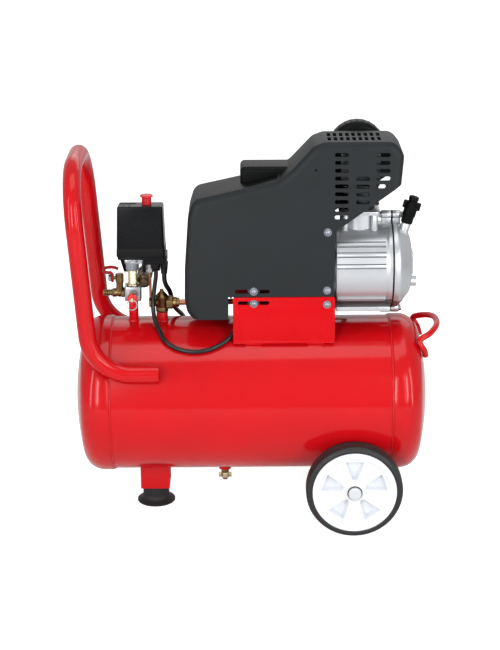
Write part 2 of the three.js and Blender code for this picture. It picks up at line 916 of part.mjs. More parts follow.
function axleBracket() {
  const top = TANK.clearance - GAP;
  const low = top - AXLE.sheet;
  const ear = low + AXLE.earHeight;
  const inner = AXLE.halfSpan - AXLE.sheet;
  const outline = flat([
    [-AXLE.halfSpan, low],
    [AXLE.halfSpan, low],
    [AXLE.halfSpan, ear],
    [inner, ear],
    [inner, top],
    [-inner, top],
    [-inner, ear],
    [-AXLE.halfSpan, ear],
  ]);
  const strap = prism(outline, "x", WHEEL.x - AXLE.width / 2, WHEEL.x + AXLE.width / 2);
  const reach = AXLE.halfSpan + OVERRUN;
  const hole = rod([WHEEL.x, -reach, WHEEL.radius], [WHEEL.x, reach, WHEEL.radius], BOLT.radius + GAP);
  return piece("axle_bracket", cut(strap, hole), RED_PAINT);
}

// A wheel's own frame has its middle at the origin and its outer face towards -Y.
function axleBolt(name) {
  const bolt = (from, to, radius, sides) => rod([0, WHEEL.y - from, 0], [0, WHEEL.y - to, 0], radius, sides);
  const earInner = AXLE.halfSpan - AXLE.sheet - GAP;
  const hubEnd = WHEEL.y - WHEEL.width / 2 - WHEEL.hubTail;
  const capStart = WHEEL.y + WHEEL.width / 2 + GAP;
  const body = join(
    bolt(earInner - BOLT.nutLength, capStart + BOLT.capLength / 2, BOLT.radius, SMALL),
    bolt(earInner - BOLT.nutLength, earInner, BOLT.nut, HEX),
    bolt(AXLE.halfSpan + GAP, hubEnd - GAP, BOLT.collar, SMALL),
    bolt(capStart, capStart + BOLT.capLength, BOLT.cap, ROUND),
  );
  return piece(name, body, ZINC_PLATED);
}

function rim(name) {
  const half = WHEEL.width / 2;
  const face = half - WHEEL.dish;
  const back = face - WHEEL.web;
  const barrel = rimRadius - WHEEL.barrel;
  const lip = rimRadius - WHEEL.lip;
  const bore = BOLT.radius + GAP;
  const profile = [
    [bore, -half - WHEEL.hubTail],
    [WHEEL.hub, -half - WHEEL.hubTail],
    [WHEEL.hub, back],
    [barrel, back],
    [barrel, -half],
    [rimRadius, -half],
    [rimRadius, half],
    [lip, half],
    [lip - WHEEL.dish, face],
    [WHEEL.hub + WHEEL.dish, face],
    [WHEEL.hub, half],
    [bore, half],
    [bore, -half - WHEEL.hubTail],
  ];
  const disc = turned(profile, [0, 0, 0], Y_AXIS.clone().negate(), FINE);
  const pocket = flat([
    [-WHEEL.pocketInnerHalf, WHEEL.pocketInner],
    [WHEEL.pocketInnerHalf, WHEEL.pocketInner],
    [WHEEL.pocketOuterHalf, pocketOuter],
    [-WHEEL.pocketOuterHalf, pocketOuter],
  ]);
  const pockets = Array.from({ length: POCKETS }, (_, index) => {
    const geometry = prismGeometry(pocket, "y", -face - OVERRUN, -face + WHEEL.pocketDepth);
    return solid(geometry.rotateY((index / POCKETS) * 2 * Math.PI));
  });
  return piece(name, cut(disc, ...pockets), WHITE_PLASTIC);
}

function tyre(name) {
  const half = WHEEL.width / 2;
  const seat = rimRadius + GAP;
  const { radius, shoulder } = WHEEL;
  const profile = [
    [seat, -half + shoulder / 2],
    [seat + shoulder, -half],
    [radius - shoulder, -half + shoulder / 2],
    [radius, -half + 2 * shoulder],
    [radius, half - 2 * shoulder],
    [radius - shoulder, half - shoulder / 2],
    [seat + shoulder, half],
    [seat, half - shoulder / 2],
    [seat, -half + shoulder / 2],
  ];
  return piece(name, turned(profile, [0, 0, 0], Y_AXIS, FINE), RUBBER);
}

function wheel(name, side) {
  const group = new THREE.Group();
  group.add(rim(`rim_${name}`), tyre(`tyre_${name}`), axleBolt(`axle_bolt_${name}`));
  group.position.set(WHEEL.x, side * WHEEL.y, WHEEL.radius);
  if (side > 0) group.rotation.z = Math.PI;
  return group;
}

// Plates and cowl

function bracketPlate(name, side) {
  const [nearY, farY] = [side * PLATE.y, side * (PLATE.y + PLATE.sheet)].sort((a, b) => a - b);
  const low = tankAxis + Math.sqrt(TANK.radius ** 2 - (PLATE.y + PLATE.sheet) ** 2) - OVERRUN;
  const corners = [0, 0, PLATE.corner, PLATE.corner];
  const outline = rounded(rectangle(PLATE.lowX, low, PLATE.highX, PLATE.top), corners);
  const sheet = prism(outline, "y", nearY, farY);
  const slot = prism(
    slotOutline(PLATE.slotLowX, PLATE.slotHighX, PLATE.slotZ, PLATE.slotHalf),
    "y",
    nearY - OVERRUN,
    farY + OVERRUN,
  );
  const hole = rod(
    [PLATE.holeX, nearY - OVERRUN, PLATE.holeZ],
    [PLATE.holeX, farY + OVERRUN, PLATE.holeZ],
    PLATE.hole,
    SMALL,
  );
  const edges = [PLATE.lowX - OVERRUN, ...PLATE_TABS.flat(), PLATE.highX + OVERRUN];
  const reliefs = [0, 2, 4].map((at) => box([edges[at], nearY, low], [edges[at + 1], farY, PLATE.hemZ]));
  return piece(name, cut(sheet, slot, hole, tankCutter(), ...reliefs), RED_PAINT);
}

// The cowl's side view, as shares of its length and height, from the nose's low corner over the top
// and back along the open edge.
const COWL_OUTLINE_SHARES = [
  [0.035, 0],
  [0.01, 0.035],
  [0, 0.115],
  [0.003, 0.29],
  [0.02, 0.575],
  [0.045, 0.68],
  [0.428, 0.786],
  [0.492, 0.845],
  [0.592, 0.978],
  [0.64, 1],
  [0.955, 1],
  [1, 0.93],
  [0.988, 0.762],
  [0.689, 0.5],
  [0.683, 0.13],
  [0.201, 0.13],
  [0.201, 0],
];
const COWL_WALLS = 12; // edges, counted from the start, that have a wall

function cowlHalfDepth(z) {
  return COWL.halfDepth - COWL.draughtShare * (z - COWL.lowZ);
}

function cowlOutline() {
  return COWL_OUTLINE_SHARES.map(
    ([x, z]) => new THREE.Vector2(COWL.lowX + x * cowlLength, COWL.lowZ + z * cowlHeight),
  );
}

// A body of the cowl's section: closed edges inset by one amount, open edges moved out by another.
function cowlBody(wallInset, openOutset, depthInset, steps) {
  const outline = cowlOutline();
  const amounts = outline.map((_, edge) => (edge < COWL_WALLS ? wallInset : -openOutset));
  const shape = rounded(inset(outline, amounts), COWL.fillet, steps);
  const depth = COWL.halfDepth;
  const geometry = prismGeometry(shape, "y", -depth, depth, COWL.edge, steps);
  return solid(
    mapVertices(geometry, (point) => {
      point.y *= (cowlHalfDepth(point.z) - depthInset) / depth;
    }),
  );
}

function cowlSlots() {
  const reach = COWL.halfDepth + OVERRUN;
  const slot = (back, drop, length) => {
    const x = cowlHighX - back;
    return slotOutline(x - length / 2, x + length / 2, cowlTop - drop, COWL_SLOT.half);
  };
  const slots = COWL_SLOTS.flatMap(({ back, drop, count }) =>
    Array.from({ length: count }, (_, index) => slot(back, drop + index * COWL_SLOT.pitch, COWL_SLOT.length)),
  );
  slots.push(slot(COWL_SHORT_SLOT.back, COWL_SHORT_SLOT.drop, COWL_SHORT_SLOT.length));
  slots.push(slotOutline(ADJUSTER.lowX, ADJUSTER.highX, ADJUSTER.z, ADJUSTER.half));
  return slots.map((outline) => prism(outline, "y", -reach, 0));
}

function cowlGrille() {
  const low = cowlTop - COWL.edge;
  const high = cowlTop + OVERRUN;
  const bars = [];
  for (let column = 0; column < GRILLE.count; column += 1) {
    for (let row = 0; row < GRILLE_ROWS; row += 1) {
      const x = cowlHighX - GRILLE.back + column * GRILLE.pitch;
      const y = GRILLE.nearY + row * GRILLE.rowPitch;
      bars.push(box([x, y, low], [x + GRILLE.width, y + GRILLE.length, high]));
    }
  }
  return bars;
}

function humpBody(wall) {
  const outline = rounded(
    rectangle(HUMP.lowX + wall, humpRoot - wall, HUMP.highX - wall, humpTop - wall),
    [0, 0, HUMP.corner, HUMP.corner],
  );
  return prism(outline, "y", HUMP.nearY + wall, HUMP.farY - wall);
}

function cowl() {
  const reach = COWL.halfDepth + OVERRUN;
  const side = prism(cowlOutline(), "y", -reach, reach);
  const outer = join(cowlBody(0, 1.5 * COWL.edge, 0, CORNER_STEPS).intersect(side), humpBody(0));
  const inner = join(cowlBody(COWL.wall, 2.5 * COWL.edge, COWL.wall, 1), humpBody(COWL.wall));
  const notch = box(
    [COWL.lowX - OVERRUN, PIPE_NOTCH.nearY, COWL.lowZ - OVERRUN],
    [COWL.lowX + 2 * COWL.edge, PIPE_NOTCH.farY, PIPE_NOTCH.top],
  );
  const filterZ = PUMP.axisZ + FILTER.z;
  const spigot = rod([CYLINDER.x, 0, filterZ], [CYLINDER.x, reach, filterZ], FILTER.spigot + RUNNING, ROUND);
  const hole = rod([PLATE.holeX, -reach, ADJUSTER.z], [PLATE.holeX, reach, ADJUSTER.z], PLATE.hole, SMALL);
  const body = cut(outer, inner, notch, spigot, hole, ...cowlSlots(), ...cowlGrille());
  return piece("cowl", body, BLACK_PLASTIC);
}

// Motor and pump

const onAxis = (x, y, z) => [x, y, PUMP.axisZ + z];

// Lugs that meet the two plates, and above them the cowl, which is narrower.
function lugs(lowX, highX) {
  const plateY = PLATE.y - GAP;
  const cowlY = cowlHalfDepth(PUMP.axisZ + LUG.high) - COWL.wall - GAP;
  return [-1, 1].flatMap((side) => {
    const span = (outer) => [side * LUG.inner, side * outer].sort((a, b) => a - b);
    const [lowNear, lowFar] = span(plateY);
    const [highNear, highFar] = span(cowlY);
    return [
      box(onAxis(lowX, lowNear, LUG.low), onAxis(highX, lowFar, LUG.step)),
      box(onAxis(lowX, highNear, LUG.step), onAxis(highX, highFar, LUG.high)),
      box(onAxis(lowX, highNear, LUG.low), onAxis(highX, highFar, LUG.high)),
    ];
  });
}

function crankcase() {
  const bore = CRANK.shaft + RUNNING;
  const flangeAt = PUMP.highX - PUMP.flangeWidth;
  const profile = [
    [bore, PUMP.lowX],
    [PUMP.barrel, PUMP.lowX],
    [PUMP.barrel, PUMP.bodyLowX],
    [PUMP.body, PUMP.bodyLowX],
    [PUMP.body, flangeAt - OVERRUN],
    [PUMP.flange, flangeAt],
    [PUMP.flange, PUMP.highX],
    [PUMP.cavity, PUMP.highX],
    [PUMP.cavity, PUMP.bodyLowX + OVERRUN],
    [PUMP.well, PUMP.bodyLowX + OVERRUN],
    [PUMP.well, PUMP.lowX + PUMP.endWall],
    [PUMP.bearing, PUMP.lowX + PUMP.endWall],
    [PUMP.bearing, PUMP.bearingX],
    [bore, PUMP.bearingX],
    [bore, PUMP.lowX],
  ];
  const under = box(
    onAxis(PUMP.lowX, -PUMP.flange, -PUMP.flange),
    onAxis(flangeAt - OVERRUN, PUMP.flange, -PUMP.foot),
  );
  const barrel = cut(turned(profile, onAxis(0, 0, 0), X_AXIS, MEDIUM), under);
  const x = CYLINDER.x;
  const neck = rod(onAxis(x, 0, PUMP.neckRoot), onAxis(x, 0, PUMP.neckTop), PUMP.neck, ROUND);
  const bosses = [-1, 1].flatMap((sideX) =>
    [-1, 1].map((sideY) => {
      const [bossX, bossY] = [x + sideX * PUMP.bossReach, sideY * PUMP.bossReach];
      return rod(onAxis(bossX, bossY, PUMP.bossRoot), onAxis(bossX, bossY, PUMP.neckTop), PUMP.boss, SMALL);
    }),
  );
  const ears = coverEars(PUMP.highX - PUMP.earWidth, PUMP.highX);
  const ridge = (side, z, radius) => {
    const y = side * Math.sqrt(PUMP.body ** 2 - z ** 2);
    return rod(onAxis(PUMP.ribLowX, y, z), onAxis(PUMP.ribHighX, y, z), radius, TINY);
  };
  const ribs = RIB_HEIGHTS.map((z) => ridge(-1, z, PUMP.rib));
  const rails = [-1, 1].map((side) => ridge(side, PUMP.railZ, PUMP.rail));
  const foot = box(
    onAxis(PUMP.footLowX, PUMP.footNearY, -PUMP.foot),
    onAxis(PUMP.footHighX, PUMP.footFarY, PUMP.footSheet - PUMP.foot),
  );
  const yokeY = cowlHalfDepth(PUMP.axisZ + YOKE.high) - COWL.wall - GAP;
  const yoke = box(onAxis(YOKE.lowX, -yokeY, YOKE.low), onAxis(YOKE.highX, yokeY, YOKE.high));
  const stalk = box(
    onAxis(YOKE.lowX, -LUG.inner / 2, PUMP.neckRoot),
    onAxis(YOKE.highX, LUG.inner / 2, YOKE.high),
  );
  const hollow = rod(
    onAxis(PUMP.bearingX, 0, 0),
    onAxis(PUMP.highX, 0, 0),
    PUMP.cavity,
    MEDIUM,
  );
  const liner = rod(onAxis(x, 0, 0), onAxis(x, 0, PUMP.neckTop + OVERRUN), PUMP.neckBore, ROUND);
  const carriers = [foot, yoke, stalk, ...lugs(LUG.lowX, LUG.highX)];
  const outside = join(neck, ...bosses, ...ears, ...ribs, ...rails, ...carriers);
  const full = rod(onAxis(PUMP.lowX, 0, 0), onAxis(PUMP.highX, 0, 0), PUMP.barrel - PUMP.endWall / 2, MEDIUM);
  return piece("crankcase", cut(join(barrel, cut(outside, full)), hollow, liner), CAST);
}

// Round lugs for the cover's bolts, each on a short stalk.
function coverEars(lowX, highX) {
  const half = PUMP.ear - COVER.gasket;
  return [PUMP.earTop, -PUMP.earBottom].flatMap((z) => {
    const [low, high] = [z, Math.sign(z) * (PUMP.cavity + COVER.wall)].sort((a, b) => a - b);
    return [
      rod(onAxis(lowX, 0, z), onAxis(highX, 0, z), PUMP.ear, SMALL),
      box(onAxis(lowX, -half, low), onAxis(highX, half, high)),
    ];
  });
}

function coverGasket() {
  const low = PUMP.highX + GAP;
  const high = low + COVER.gasket;
  const body = ring(COVER.gasketRadius, PUMP.cavity, low, high, onAxis(0, 0, 0), X_AXIS, MEDIUM);
  return piece("cover_gasket", join(body, ...coverEars(low, high)), RUBBER);
}

function endCover() {
  const low = PUMP.highX + 2 * GAP + COVER.gasket;
  const outer = [
    [PUMP.flange, 0],
    [PUMP.flange, COVER.flangeWidth],
    [COVER.shoulder, COVER.shoulderAt],
    [COVER.brow, COVER.browAt],
    [COVER.cheek, COVER.cheekAt],
    [COVER.crown, COVER.crownAt],
    [0, COVER.tip],
  ];
  const inner = [
    [0, COVER.tip - COVER.wall],
    [COVER.crown, COVER.crownAt - COVER.wall],
    [COVER.cheek - COVER.wall, COVER.cheekAt - COVER.wall],
    [PUMP.cavity, COVER.shoulderAt - COVER.wall],
    [PUMP.cavity, 0],
  ];
  const shell = turned([...outer.reverse(), ...inner.reverse()], onAxis(low, 0, 0), X_AXIS, MEDIUM);
  const ears = coverEars(low, low + COVER.earWidth);
  const pad = box(
    onAxis(low + COVER.cheekAt, -COVER.padHalf, COVER.padLow),
    onAxis(low + COVER.padAt, COVER.padHalf, COVER.padHigh),
  );
  const sight = rod(
    onAxis(low + COVER.browAt, COVER.sightY, COVER.sightZ),
    onAxis(low + COVER.sightAt, COVER.sightY, COVER.sightZ),
    COVER.sight,
    ROUND,
  );
  const base = breatherAt(-GAP);
  const neck = rod(breatherAt(-BREATHER.neckLength), base, BREATHER.neck, SMALL);
  return piece("end_cover", join(shell, ...ears, pad, sight, neck), CAST);
}

// A point on the breather's tilted axis.
function breatherAt(along) {
  const { x, y, z, tilt } = BREATHER;
  return onAxis(x + along * Math.sin(tilt), y, z + along * Math.cos(tilt));
}

function breatherPlug() {
  const { length, radius, waist, grip, top, wing, wingHalf } = BREATHER;
  const share = BREATHER_SHARES;
  const profile = [
    [0, 0],
    [radius, 0],
    [radius, length * share.grip],
    [grip, length * share.grip + grip - radius],
    [grip, length * share.gripEnd],
    [waist, length * share.gripEnd + grip - waist],
    [top, length * share.neck],
    [top, length],
    [0, length],
  ];
  const direction = new THREE.Vector3(Math.sin(BREATHER.tilt), 0, Math.cos(BREATHER.tilt));
  const body = turned(profile, breatherAt(0), direction, SMALL);
  const wings = new THREE.BoxGeometry(2 * wing, 2 * wingHalf, length * share.wingWidth);
  wings.rotateY(BREATHER.tilt).translate(...breatherAt(length * share.wings));
  return piece("breather_plug", join(body, solid(wings)), BLACK_PLASTIC);
}

function block(half, low, high) {
  return box([CYLINDER.x - half, -half, low], [CYLINDER.x + half, half, high]);
}

function cylinderBarrel() {
  const x = CYLINDER.x;
  const flange = block(CYLINDER.flange, cylinderLow, cylinderLow + CYLINDER.flangeHeight);
  const core = rod([x, 0, cylinderLow], [x, 0, cylinderTop], CYLINDER.core, ROUND);
  const pitch = (CYLINDER.height - CYLINDER.flangeHeight - CYLINDER.finSheet) / FINS;
  const fins = Array.from({ length: FINS }, (_, index) => {
    const top = cylinderTop - index * pitch;
    return block(CYLINDER.fin, top - CYLINDER.finSheet, top);
  });
  const bore = rod([x, 0, cylinderLow - OVERRUN], [x, 0, cylinderTop + OVERRUN], CYLINDER.bore, ROUND);
  return piece("cylinder", cut(join(flange, core, ...fins), bore), CAST);
}

function valvePlate() {
  const plate = block(CYLINDER.fin, cylinderTop + GAP, valvePlateTop);
  const ports = [-1, 1].map((side) => {
    const x = CYLINDER.x + side * CYLINDER.chamberHalf;
    return rod([x, 0, cylinderTop - OVERRUN], [x, 0, valvePlateTop + OVERRUN], CYLINDER.port, SMALL);
  });
  return piece("valve_plate", cut(plate, ...ports), STEEL);
}

function cylinderHead() {
  const x = CYLINDER.x;
  const top = headLow + CYLINDER.head;
  const chambers = [-1, 1].map((side) => {
    const middle = x + side * (CYLINDER.chamberHalf + CYLINDER.port);
    const half = CYLINDER.chamberHalf;
    return box(
      [middle - half, -CYLINDER.chamber, headLow - OVERRUN],
      [middle + half, CYLINDER.chamber, headLow + CYLINDER.chamberDepth],
    );
  });
  const pitch = (2 * CYLINDER.fin) / FINS;
  const grooves = Array.from({ length: FINS - 1 }, (_, index) => {
    const low = x - CYLINDER.fin + (index + 1) * pitch;
    const floor = top - pitch / 2;
    const reach = CYLINDER.fin + OVERRUN;
    return box([low - CYLINDER.finSheet, -reach, floor], [low + CYLINDER.finSheet, reach, top + OVERRUN]);
  });
  const filterZ = PUMP.axisZ + FILTER.z;
  const inlet = rod(
    [x, CYLINDER.fin - FILTER.seat, filterZ],
    [x, CYLINDER.fin + OVERRUN, filterZ],
    FILTER.spigot + GAP,
    ROUND,
  );
  return piece("cylinder_head", cut(block(CYLINDER.fin, headLow, top), ...chambers, ...grooves, inlet), CAST);
}

function airFilter() {
  const { radius, round, spigot, seat, length, bore } = FILTER;
  const nearY = cowlHalfDepth(PUMP.axisZ + FILTER.z + round - radius) + GAP;
  const start = CYLINDER.fin - seat + GAP;
  const profile = [
    [bore, start],
    [spigot, start],
    [spigot, nearY],
    [radius - round, nearY],
    [radius, nearY + round],
    [radius, nearY + length - round],
    [radius - round, nearY + length],
    [0, nearY + length],
    [0, nearY + round],
    [bore, nearY + round],
  ];
  const section = [...profile.slice(8), ...profile.slice(0, 8)];
  const body = turned(section, onAxis(CYLINDER.x, 0, FILTER.z), Y_AXIS, ROUND);
  return piece("air_filter", body, BLACK_PLASTIC);
}

function crankshaft() {
  const shaft = rod(onAxis(CRANK.lowX, 0, 0), onAxis(CRANK.discHighX, 0, 0), CRANK.shaft, ROUND);
  const disc = rod(onAxis(CRANK.discLowX, 0, 0), onAxis(CRANK.discHighX, 0, 0), CRANK.disc, MEDIUM);
  return piece("crankshaft", join(shaft, disc), STEEL);
}

function connectingRod() {
  const x = CYLINDER.x;
  const pinZ = CRANK.rod - CRANK.throw;
  const width = (half) => [x - half, x + half];
  const [low, high] = width(ROD.half);
  const big = rod(onAxis(low, 0, -CRANK.throw), onAxis(high, 0, -CRANK.throw), ROD.big, ROUND);
  const small = rod(onAxis(low, 0, pinZ), onAxis(high, 0, pinZ), ROD.small, ROUND);
  const [shankLow, shankHigh] = width(ROD.shankWidth);
  const shank = box(onAxis(shankLow, -ROD.shankHalf, -CRANK.throw), onAxis(shankHigh, ROD.shankHalf, pinZ));
  const pin = rod(
    onAxis(CRANK.discHighX + GAP, 0, -CRANK.throw),
    onAxis(high + GAP, 0, -CRANK.throw),
    CRANK.pin,
    SMALL,
  );
  const bore = PISTON.pin + RUNNING;
  const eye = rod(onAxis(low - OVERRUN, 0, pinZ), onAxis(high + OVERRUN, 0, pinZ), bore, SMALL);
  return piece("connecting_rod", cut(join(big, small, shank, pin), eye), STEEL);
}

function piston() {
  const pinZ = CRANK.rod - CRANK.throw;
  const at = (z) => onAxis(CYLINDER.x, 0, pinZ + z);
  const { radius, below, above, crown, skirt, pin } = PISTON;
  const body = rod(at(-below), at(above), radius, ROUND);
  const hollow = rod(at(-below - OVERRUN), at(above - crown), radius - skirt, ROUND);
  const reach = radius - skirt / 2;
  const wrist = rod(
    onAxis(CYLINDER.x - reach, 0, pinZ),
    onAxis(CYLINDER.x + reach, 0, pinZ),
    pin,
    SMALL,
  );
  return piece("piston", join(cut(body, hollow), wrist), STEEL);
}

function stator() {
  const high = PUMP.lowX - GAP;
  const body = ring(STATOR.radius, STATOR.bore, STATOR.lowX, high, onAxis(0, 0, 0), X_AXIS, MEDIUM);
  return piece("stator", body, STEEL);
}

function rotor() {
  const { radius, lowX, highX } = ROTOR;
  return piece("rotor", ring(radius, CRANK.shaft + GAP, lowX, highX, onAxis(0, 0, 0), X_AXIS, ROUND), STEEL);
}

function endShield() {
  const [low, high] = [SHIELD_LUG.lowX, STATOR.lowX - GAP];
  const bore = CRANK.shaft + RUNNING;
  const profile = [
    [bore, low],
    [STATOR.radius, low],
    [STATOR.radius, high],
    [STATOR.radius - SHIELD.wall, high],
    [STATOR.radius - SHIELD.wall, low + SHIELD.disc],
    [SHIELD.hub, low + SHIELD.disc],
    [SHIELD.hub, low + SHIELD.hubDepth],
    [bore, low + SHIELD.hubDepth],
    [bore, low],
  ];
  const inside = rod(
    onAxis(low + SHIELD.disc, 0, 0),
    onAxis(high + OVERRUN, 0, 0),
    STATOR.radius - SHIELD.wall,
    MEDIUM,
  );
  const body = turned(profile, onAxis(0, 0, 0), X_AXIS, MEDIUM);
  return piece("end_shield", join(body, ...lugs(low, high).map((lug) => cut(lug, inside))), CAST);
}

function coolingFan() {
  const { radius, disc, lowX, highX, hub, blade } = FAN;
  const blades = Array.from({ length: BLADES }, (_, index) => {
    const width = highX - lowX - disc / 2;
    const geometry = new THREE.BoxGeometry(width, blade, radius - hub / 2 - disc);
    geometry.translate(lowX + width / 2, 0, (radius + hub / 2 - disc) / 2);
    return solid(geometry.rotateX((index / BLADES) * 2 * Math.PI).translate(0, 0, PUMP.axisZ));
  });
  const plate = rod(onAxis(highX - disc, 0, 0), onAxis(highX, 0, 0), radius, MEDIUM);
  const boss = rod(onAxis(lowX, 0, 0), onAxis(highX, 0, 0), hub, ROUND);
  const bore = rod(onAxis(lowX - OVERRUN, 0, 0), onAxis(highX + OVERRUN, 0, 0), CRANK.shaft + GAP, ROUND);
  return piece("cooling_fan", cut(join(plate, boss, ...blades), bore), BLACK_PLASTIC);
}

function capacitor() {
  const { radius, lowX, highX, y, cap } = CAPACITOR;
  const z = humpTop - COWL.wall - GAP - radius;
  const body = rod([lowX, y, z], [highX - cap, y, z], radius, ROUND);
  const lid = rod([highX - cap, y, z], [highX, y, z], radius - cap, ROUND);
  return piece("capacitor", join(body, lid), GLOSS_BLACK);
}

// Delivery pipe, check valve and unloader

function dischargePipe() {
  const run = PIPE_RUN;
  const corners = [
    [PIPE.startX, 0, PIPE.z],
    [run.firstX, 0, PIPE.z],
    [run.secondX, PIPE.runY, PIPE.lowZ],
    [run.riseX, PIPE.runY, PIPE.lowZ],
    [run.riseX, PIPE.sideY, run.sideZ],
    [run.riseX, PIPE.sideY, run.topZ],
    [run.riseX, PIPE.runY, run.backZ],
    [run.riseX, PIPE.runY, run.inletZ],
    [run.riseX, CYLINDER.fin + GAP, run.inletZ],
  ];
  const radii = corners.slice(2).map(() => PIPE.bend);
  radii[radii.length - 1] = PIPE.lastBend;
  return piece("discharge_pipe", tube(bentRoute(corners, radii, CORNER_STEPS), PIPE.radius, HEX), COPPER);
}

function checkValve() {
  const { x } = VALVE_BOSS;
  const low = tankTop + VALVE_BOSS.height + GAP;
  const coneLow = PIPE.z + VALVE.high;
  const coneTop = coneLow + VALVE.cone;
  const body = join(
    rod([x, 0, low], [x, 0, coneLow], VALVE.radius, SMALL),
    rod([x, 0, coneLow], [x, 0, coneTop], VALVE.radius, SMALL, VALVE.tip + GAP),
    rod([x, 0, coneLow], [x, 0, coneTop + VALVE.tipHeight], VALVE.tip, SMALL),
    rod([x, 0, PIPE.z], [VALVE.nutLowX + GAP, 0, PIPE.z], VALVE.neck, SMALL),
    rod([VALVE.nutLowX, 0, PIPE.z], [PIPE.startX - GAP, 0, PIPE.z], VALVE.nut, HEX),
    rod([VALVE.plugHighX - GAP, 0, PIPE.z], [x, 0, PIPE.z], VALVE.neck, SMALL),
    rod([VALVE.plugLowX, 0, PIPE.z], [VALVE.plugHighX, 0, PIPE.z], VALVE.plug, HEX),
  );
  return piece("check_valve", body, BRASS);
}

function unloaderTube() {
  const { x, radius, fitting, fittingZ } = UNLOADER;
  const low = PIPE.z + VALVE.plug + GAP;
  const body = join(
    rod([x, 0, low], [x, 0, fittingZ + radius], radius, TINY),
    rod([x, 0, fittingZ], [x, 0, HOUSING.z - GAP], fitting, HEX),
  );
  return piece("unloader_tube", body, COPPER);
}

// Pressure switch

// The switch's cover, or the hollow inside it: a box with round corners that narrows upwards.
function switchBody(wall, low, high) {
  const outline = rounded(
    rectangle(SWITCH.lowX + wall, wall - SWITCH.halfY, SWITCH.highX - wall, SWITCH.halfY - wall),
    SWITCH.corner - wall,
  );
  const middle = (SWITCH.lowX + SWITCH.highX) / 2;
  const topMiddle = (SWITCH.topLowX + SWITCH.topHighX) / 2;
  const narrowX = (SWITCH.topHighX - SWITCH.topLowX) / (SWITCH.highX - SWITCH.lowX);
  const narrowY = SWITCH.topHalfY / SWITCH.halfY;
  return solid(
    mapVertices(prismGeometry(outline, "z", low, high), (point) => {
      const up = (point.z - SWITCH.z) / SWITCH.height;
      const centre = THREE.MathUtils.lerp(middle, topMiddle, up);
      point.x = centre + (point.x - middle) * THREE.MathUtils.lerp(1, narrowX, up);
      point.z -= (SWITCH.fall * up * (point.y + SWITCH.halfY)) / (2 * SWITCH.halfY);
      point.y *= THREE.MathUtils.lerp(1, narrowY, up);
    }),
  );
}

function switchCover() {
  const top = SWITCH.z + SWITCH.height;
  const inside = switchBody(SWITCH.wall, SWITCH.z - OVERRUN, top - SWITCH.wall);
  const hole = rod([KNOB.x, 0, SWITCH.z + SWITCH.block], [KNOB.x, 0, top + OVERRUN], KNOB.hole, ROUND);
  return piece("switch_cover", cut(switchBody(0, SWITCH.z, top), inside, hole), GLOSS_BLACK);
}

function switchBase() {
  const { baseInset, halfY } = SWITCH;
  const top = SWITCH.z - GAP;
  const deck = box(
    [SWITCH.lowX + baseInset, baseInset - halfY, switchFloor],
    [SWITCH.highX - baseInset, halfY - baseInset, top],
  );
  const contacts = box(
    [SWITCH.blockLowX, -SWITCH.blockHalf, switchFloor],
    [SWITCH.blockHighX, SWITCH.blockHalf, SWITCH.z + SWITCH.block],
  );
  const housing = box([HOUSING.lowX, -HOUSING.halfY, HOUSING.z], [HOUSING.highX, HOUSING.halfY, top]);
  const gland = rod(
    [LEAD_GLAND.x, LEAD_GLAND.y, LEAD_GLAND.z],
    [LEAD_GLAND.x, LEAD_GLAND.y, top],
    LEAD_GLAND.radius,
    SMALL,
  );
  const wedge = flat([
    [GUSSET.lowX, top],
    [GUSSET.lowX, switchFloor],
    [GUSSET.highX - GUSSET.slant, switchFloor - GUSSET.drop],
    [GUSSET.highX, switchFloor - GUSSET.drop],
    [GUSSET.highX, top],
  ]);
  const gusset = prism(wedge, "y", GUSSET.nearY, GUSSET.farY);
  return piece("switch_base", join(deck, contacts, housing, gland, gusset), GLOSS_BLACK);
}

function switchPlate() {
  const top = switchFloor - GAP;
  const sheet = box([ZINC.lowX, ZINC.nearY, top - ZINC.sheet], [ZINC.highX, ZINC.farY, top]);
  const flange = box([ZINC.lowX, ZINC.nearY, top - ZINC.flange], [ZINC.highX, ZINC.nearY + ZINC.sheet, top]);
  const pitch = (ZINC.highX - ZINC.lowX) / 3;
  const notches = [1, 2].map((index) => {
    const x = ZINC.lowX + index * pitch;
    return box(
      [x - ZINC.sheet, ZINC.nearY - OVERRUN, top - ZINC.flange + ZINC.sheet],
      [x + ZINC.sheet, ZINC.nearY + ZINC.sheet + GAP, top - ZINC.sheet],
    );
  });
  return piece("switch_plate", cut(join(sheet, flange), ...notches), ZINC_PLATED);
}

function cordGland() {
  const { x, y, radius, z, collar, tip, collarLength } = CORD_GLAND;
  const body = join(
    rod([x, y, z + collarLength], [x, y, HOUSING.z - GAP], radius, HEX),
    rod([x, y, z], [x, y, z + collarLength + GAP], tip, SMALL, collar),
  );
  return piece("gland_cord", body, RUBBER);
}

function switchKnob() {
  const stemLow = SWITCH.z + SWITCH.block + GAP;
  const body = join(
    rod([KNOB.x, 0, stemLow], [KNOB.x, 0, KNOB.top - KNOB.flangeHeight], KNOB.stem, ROUND),
    rod([KNOB.x, 0, KNOB.top - KNOB.flangeHeight], [KNOB.x, 0, KNOB.top], KNOB.flange, ROUND),
  );
  return piece("switch_knob", body, RED_PLASTIC);
}

// Manifold and what is screwed into it

function manifoldBlock() {
  const { half, chamfer } = MANIFOLD;
  const outline = rounded(rectangle(RISER.x - half, -half, RISER.x + half, half), chamfer, 1);
  return piece("manifold_block", prism(outline, "z", blockLow, blockTop), ZINC_PLATED);
}

function nutLow() {
  return switchFloor - GAP - ZINC.sheet - GAP - NIPPLE.nutHeight;
}

function nipple() {
  const low = blockTop + GAP;
  const body = join(
    rod([RISER.x, 0, low], [RISER.x, 0, low + NIPPLE.washerHeight], NIPPLE.washer, SMALL),
    rod([RISER.x, 0, low], [RISER.x, 0, nutLow() - GAP], NIPPLE.hex, HEX),
  );
  return piece("nipple", body, BRASS);
}

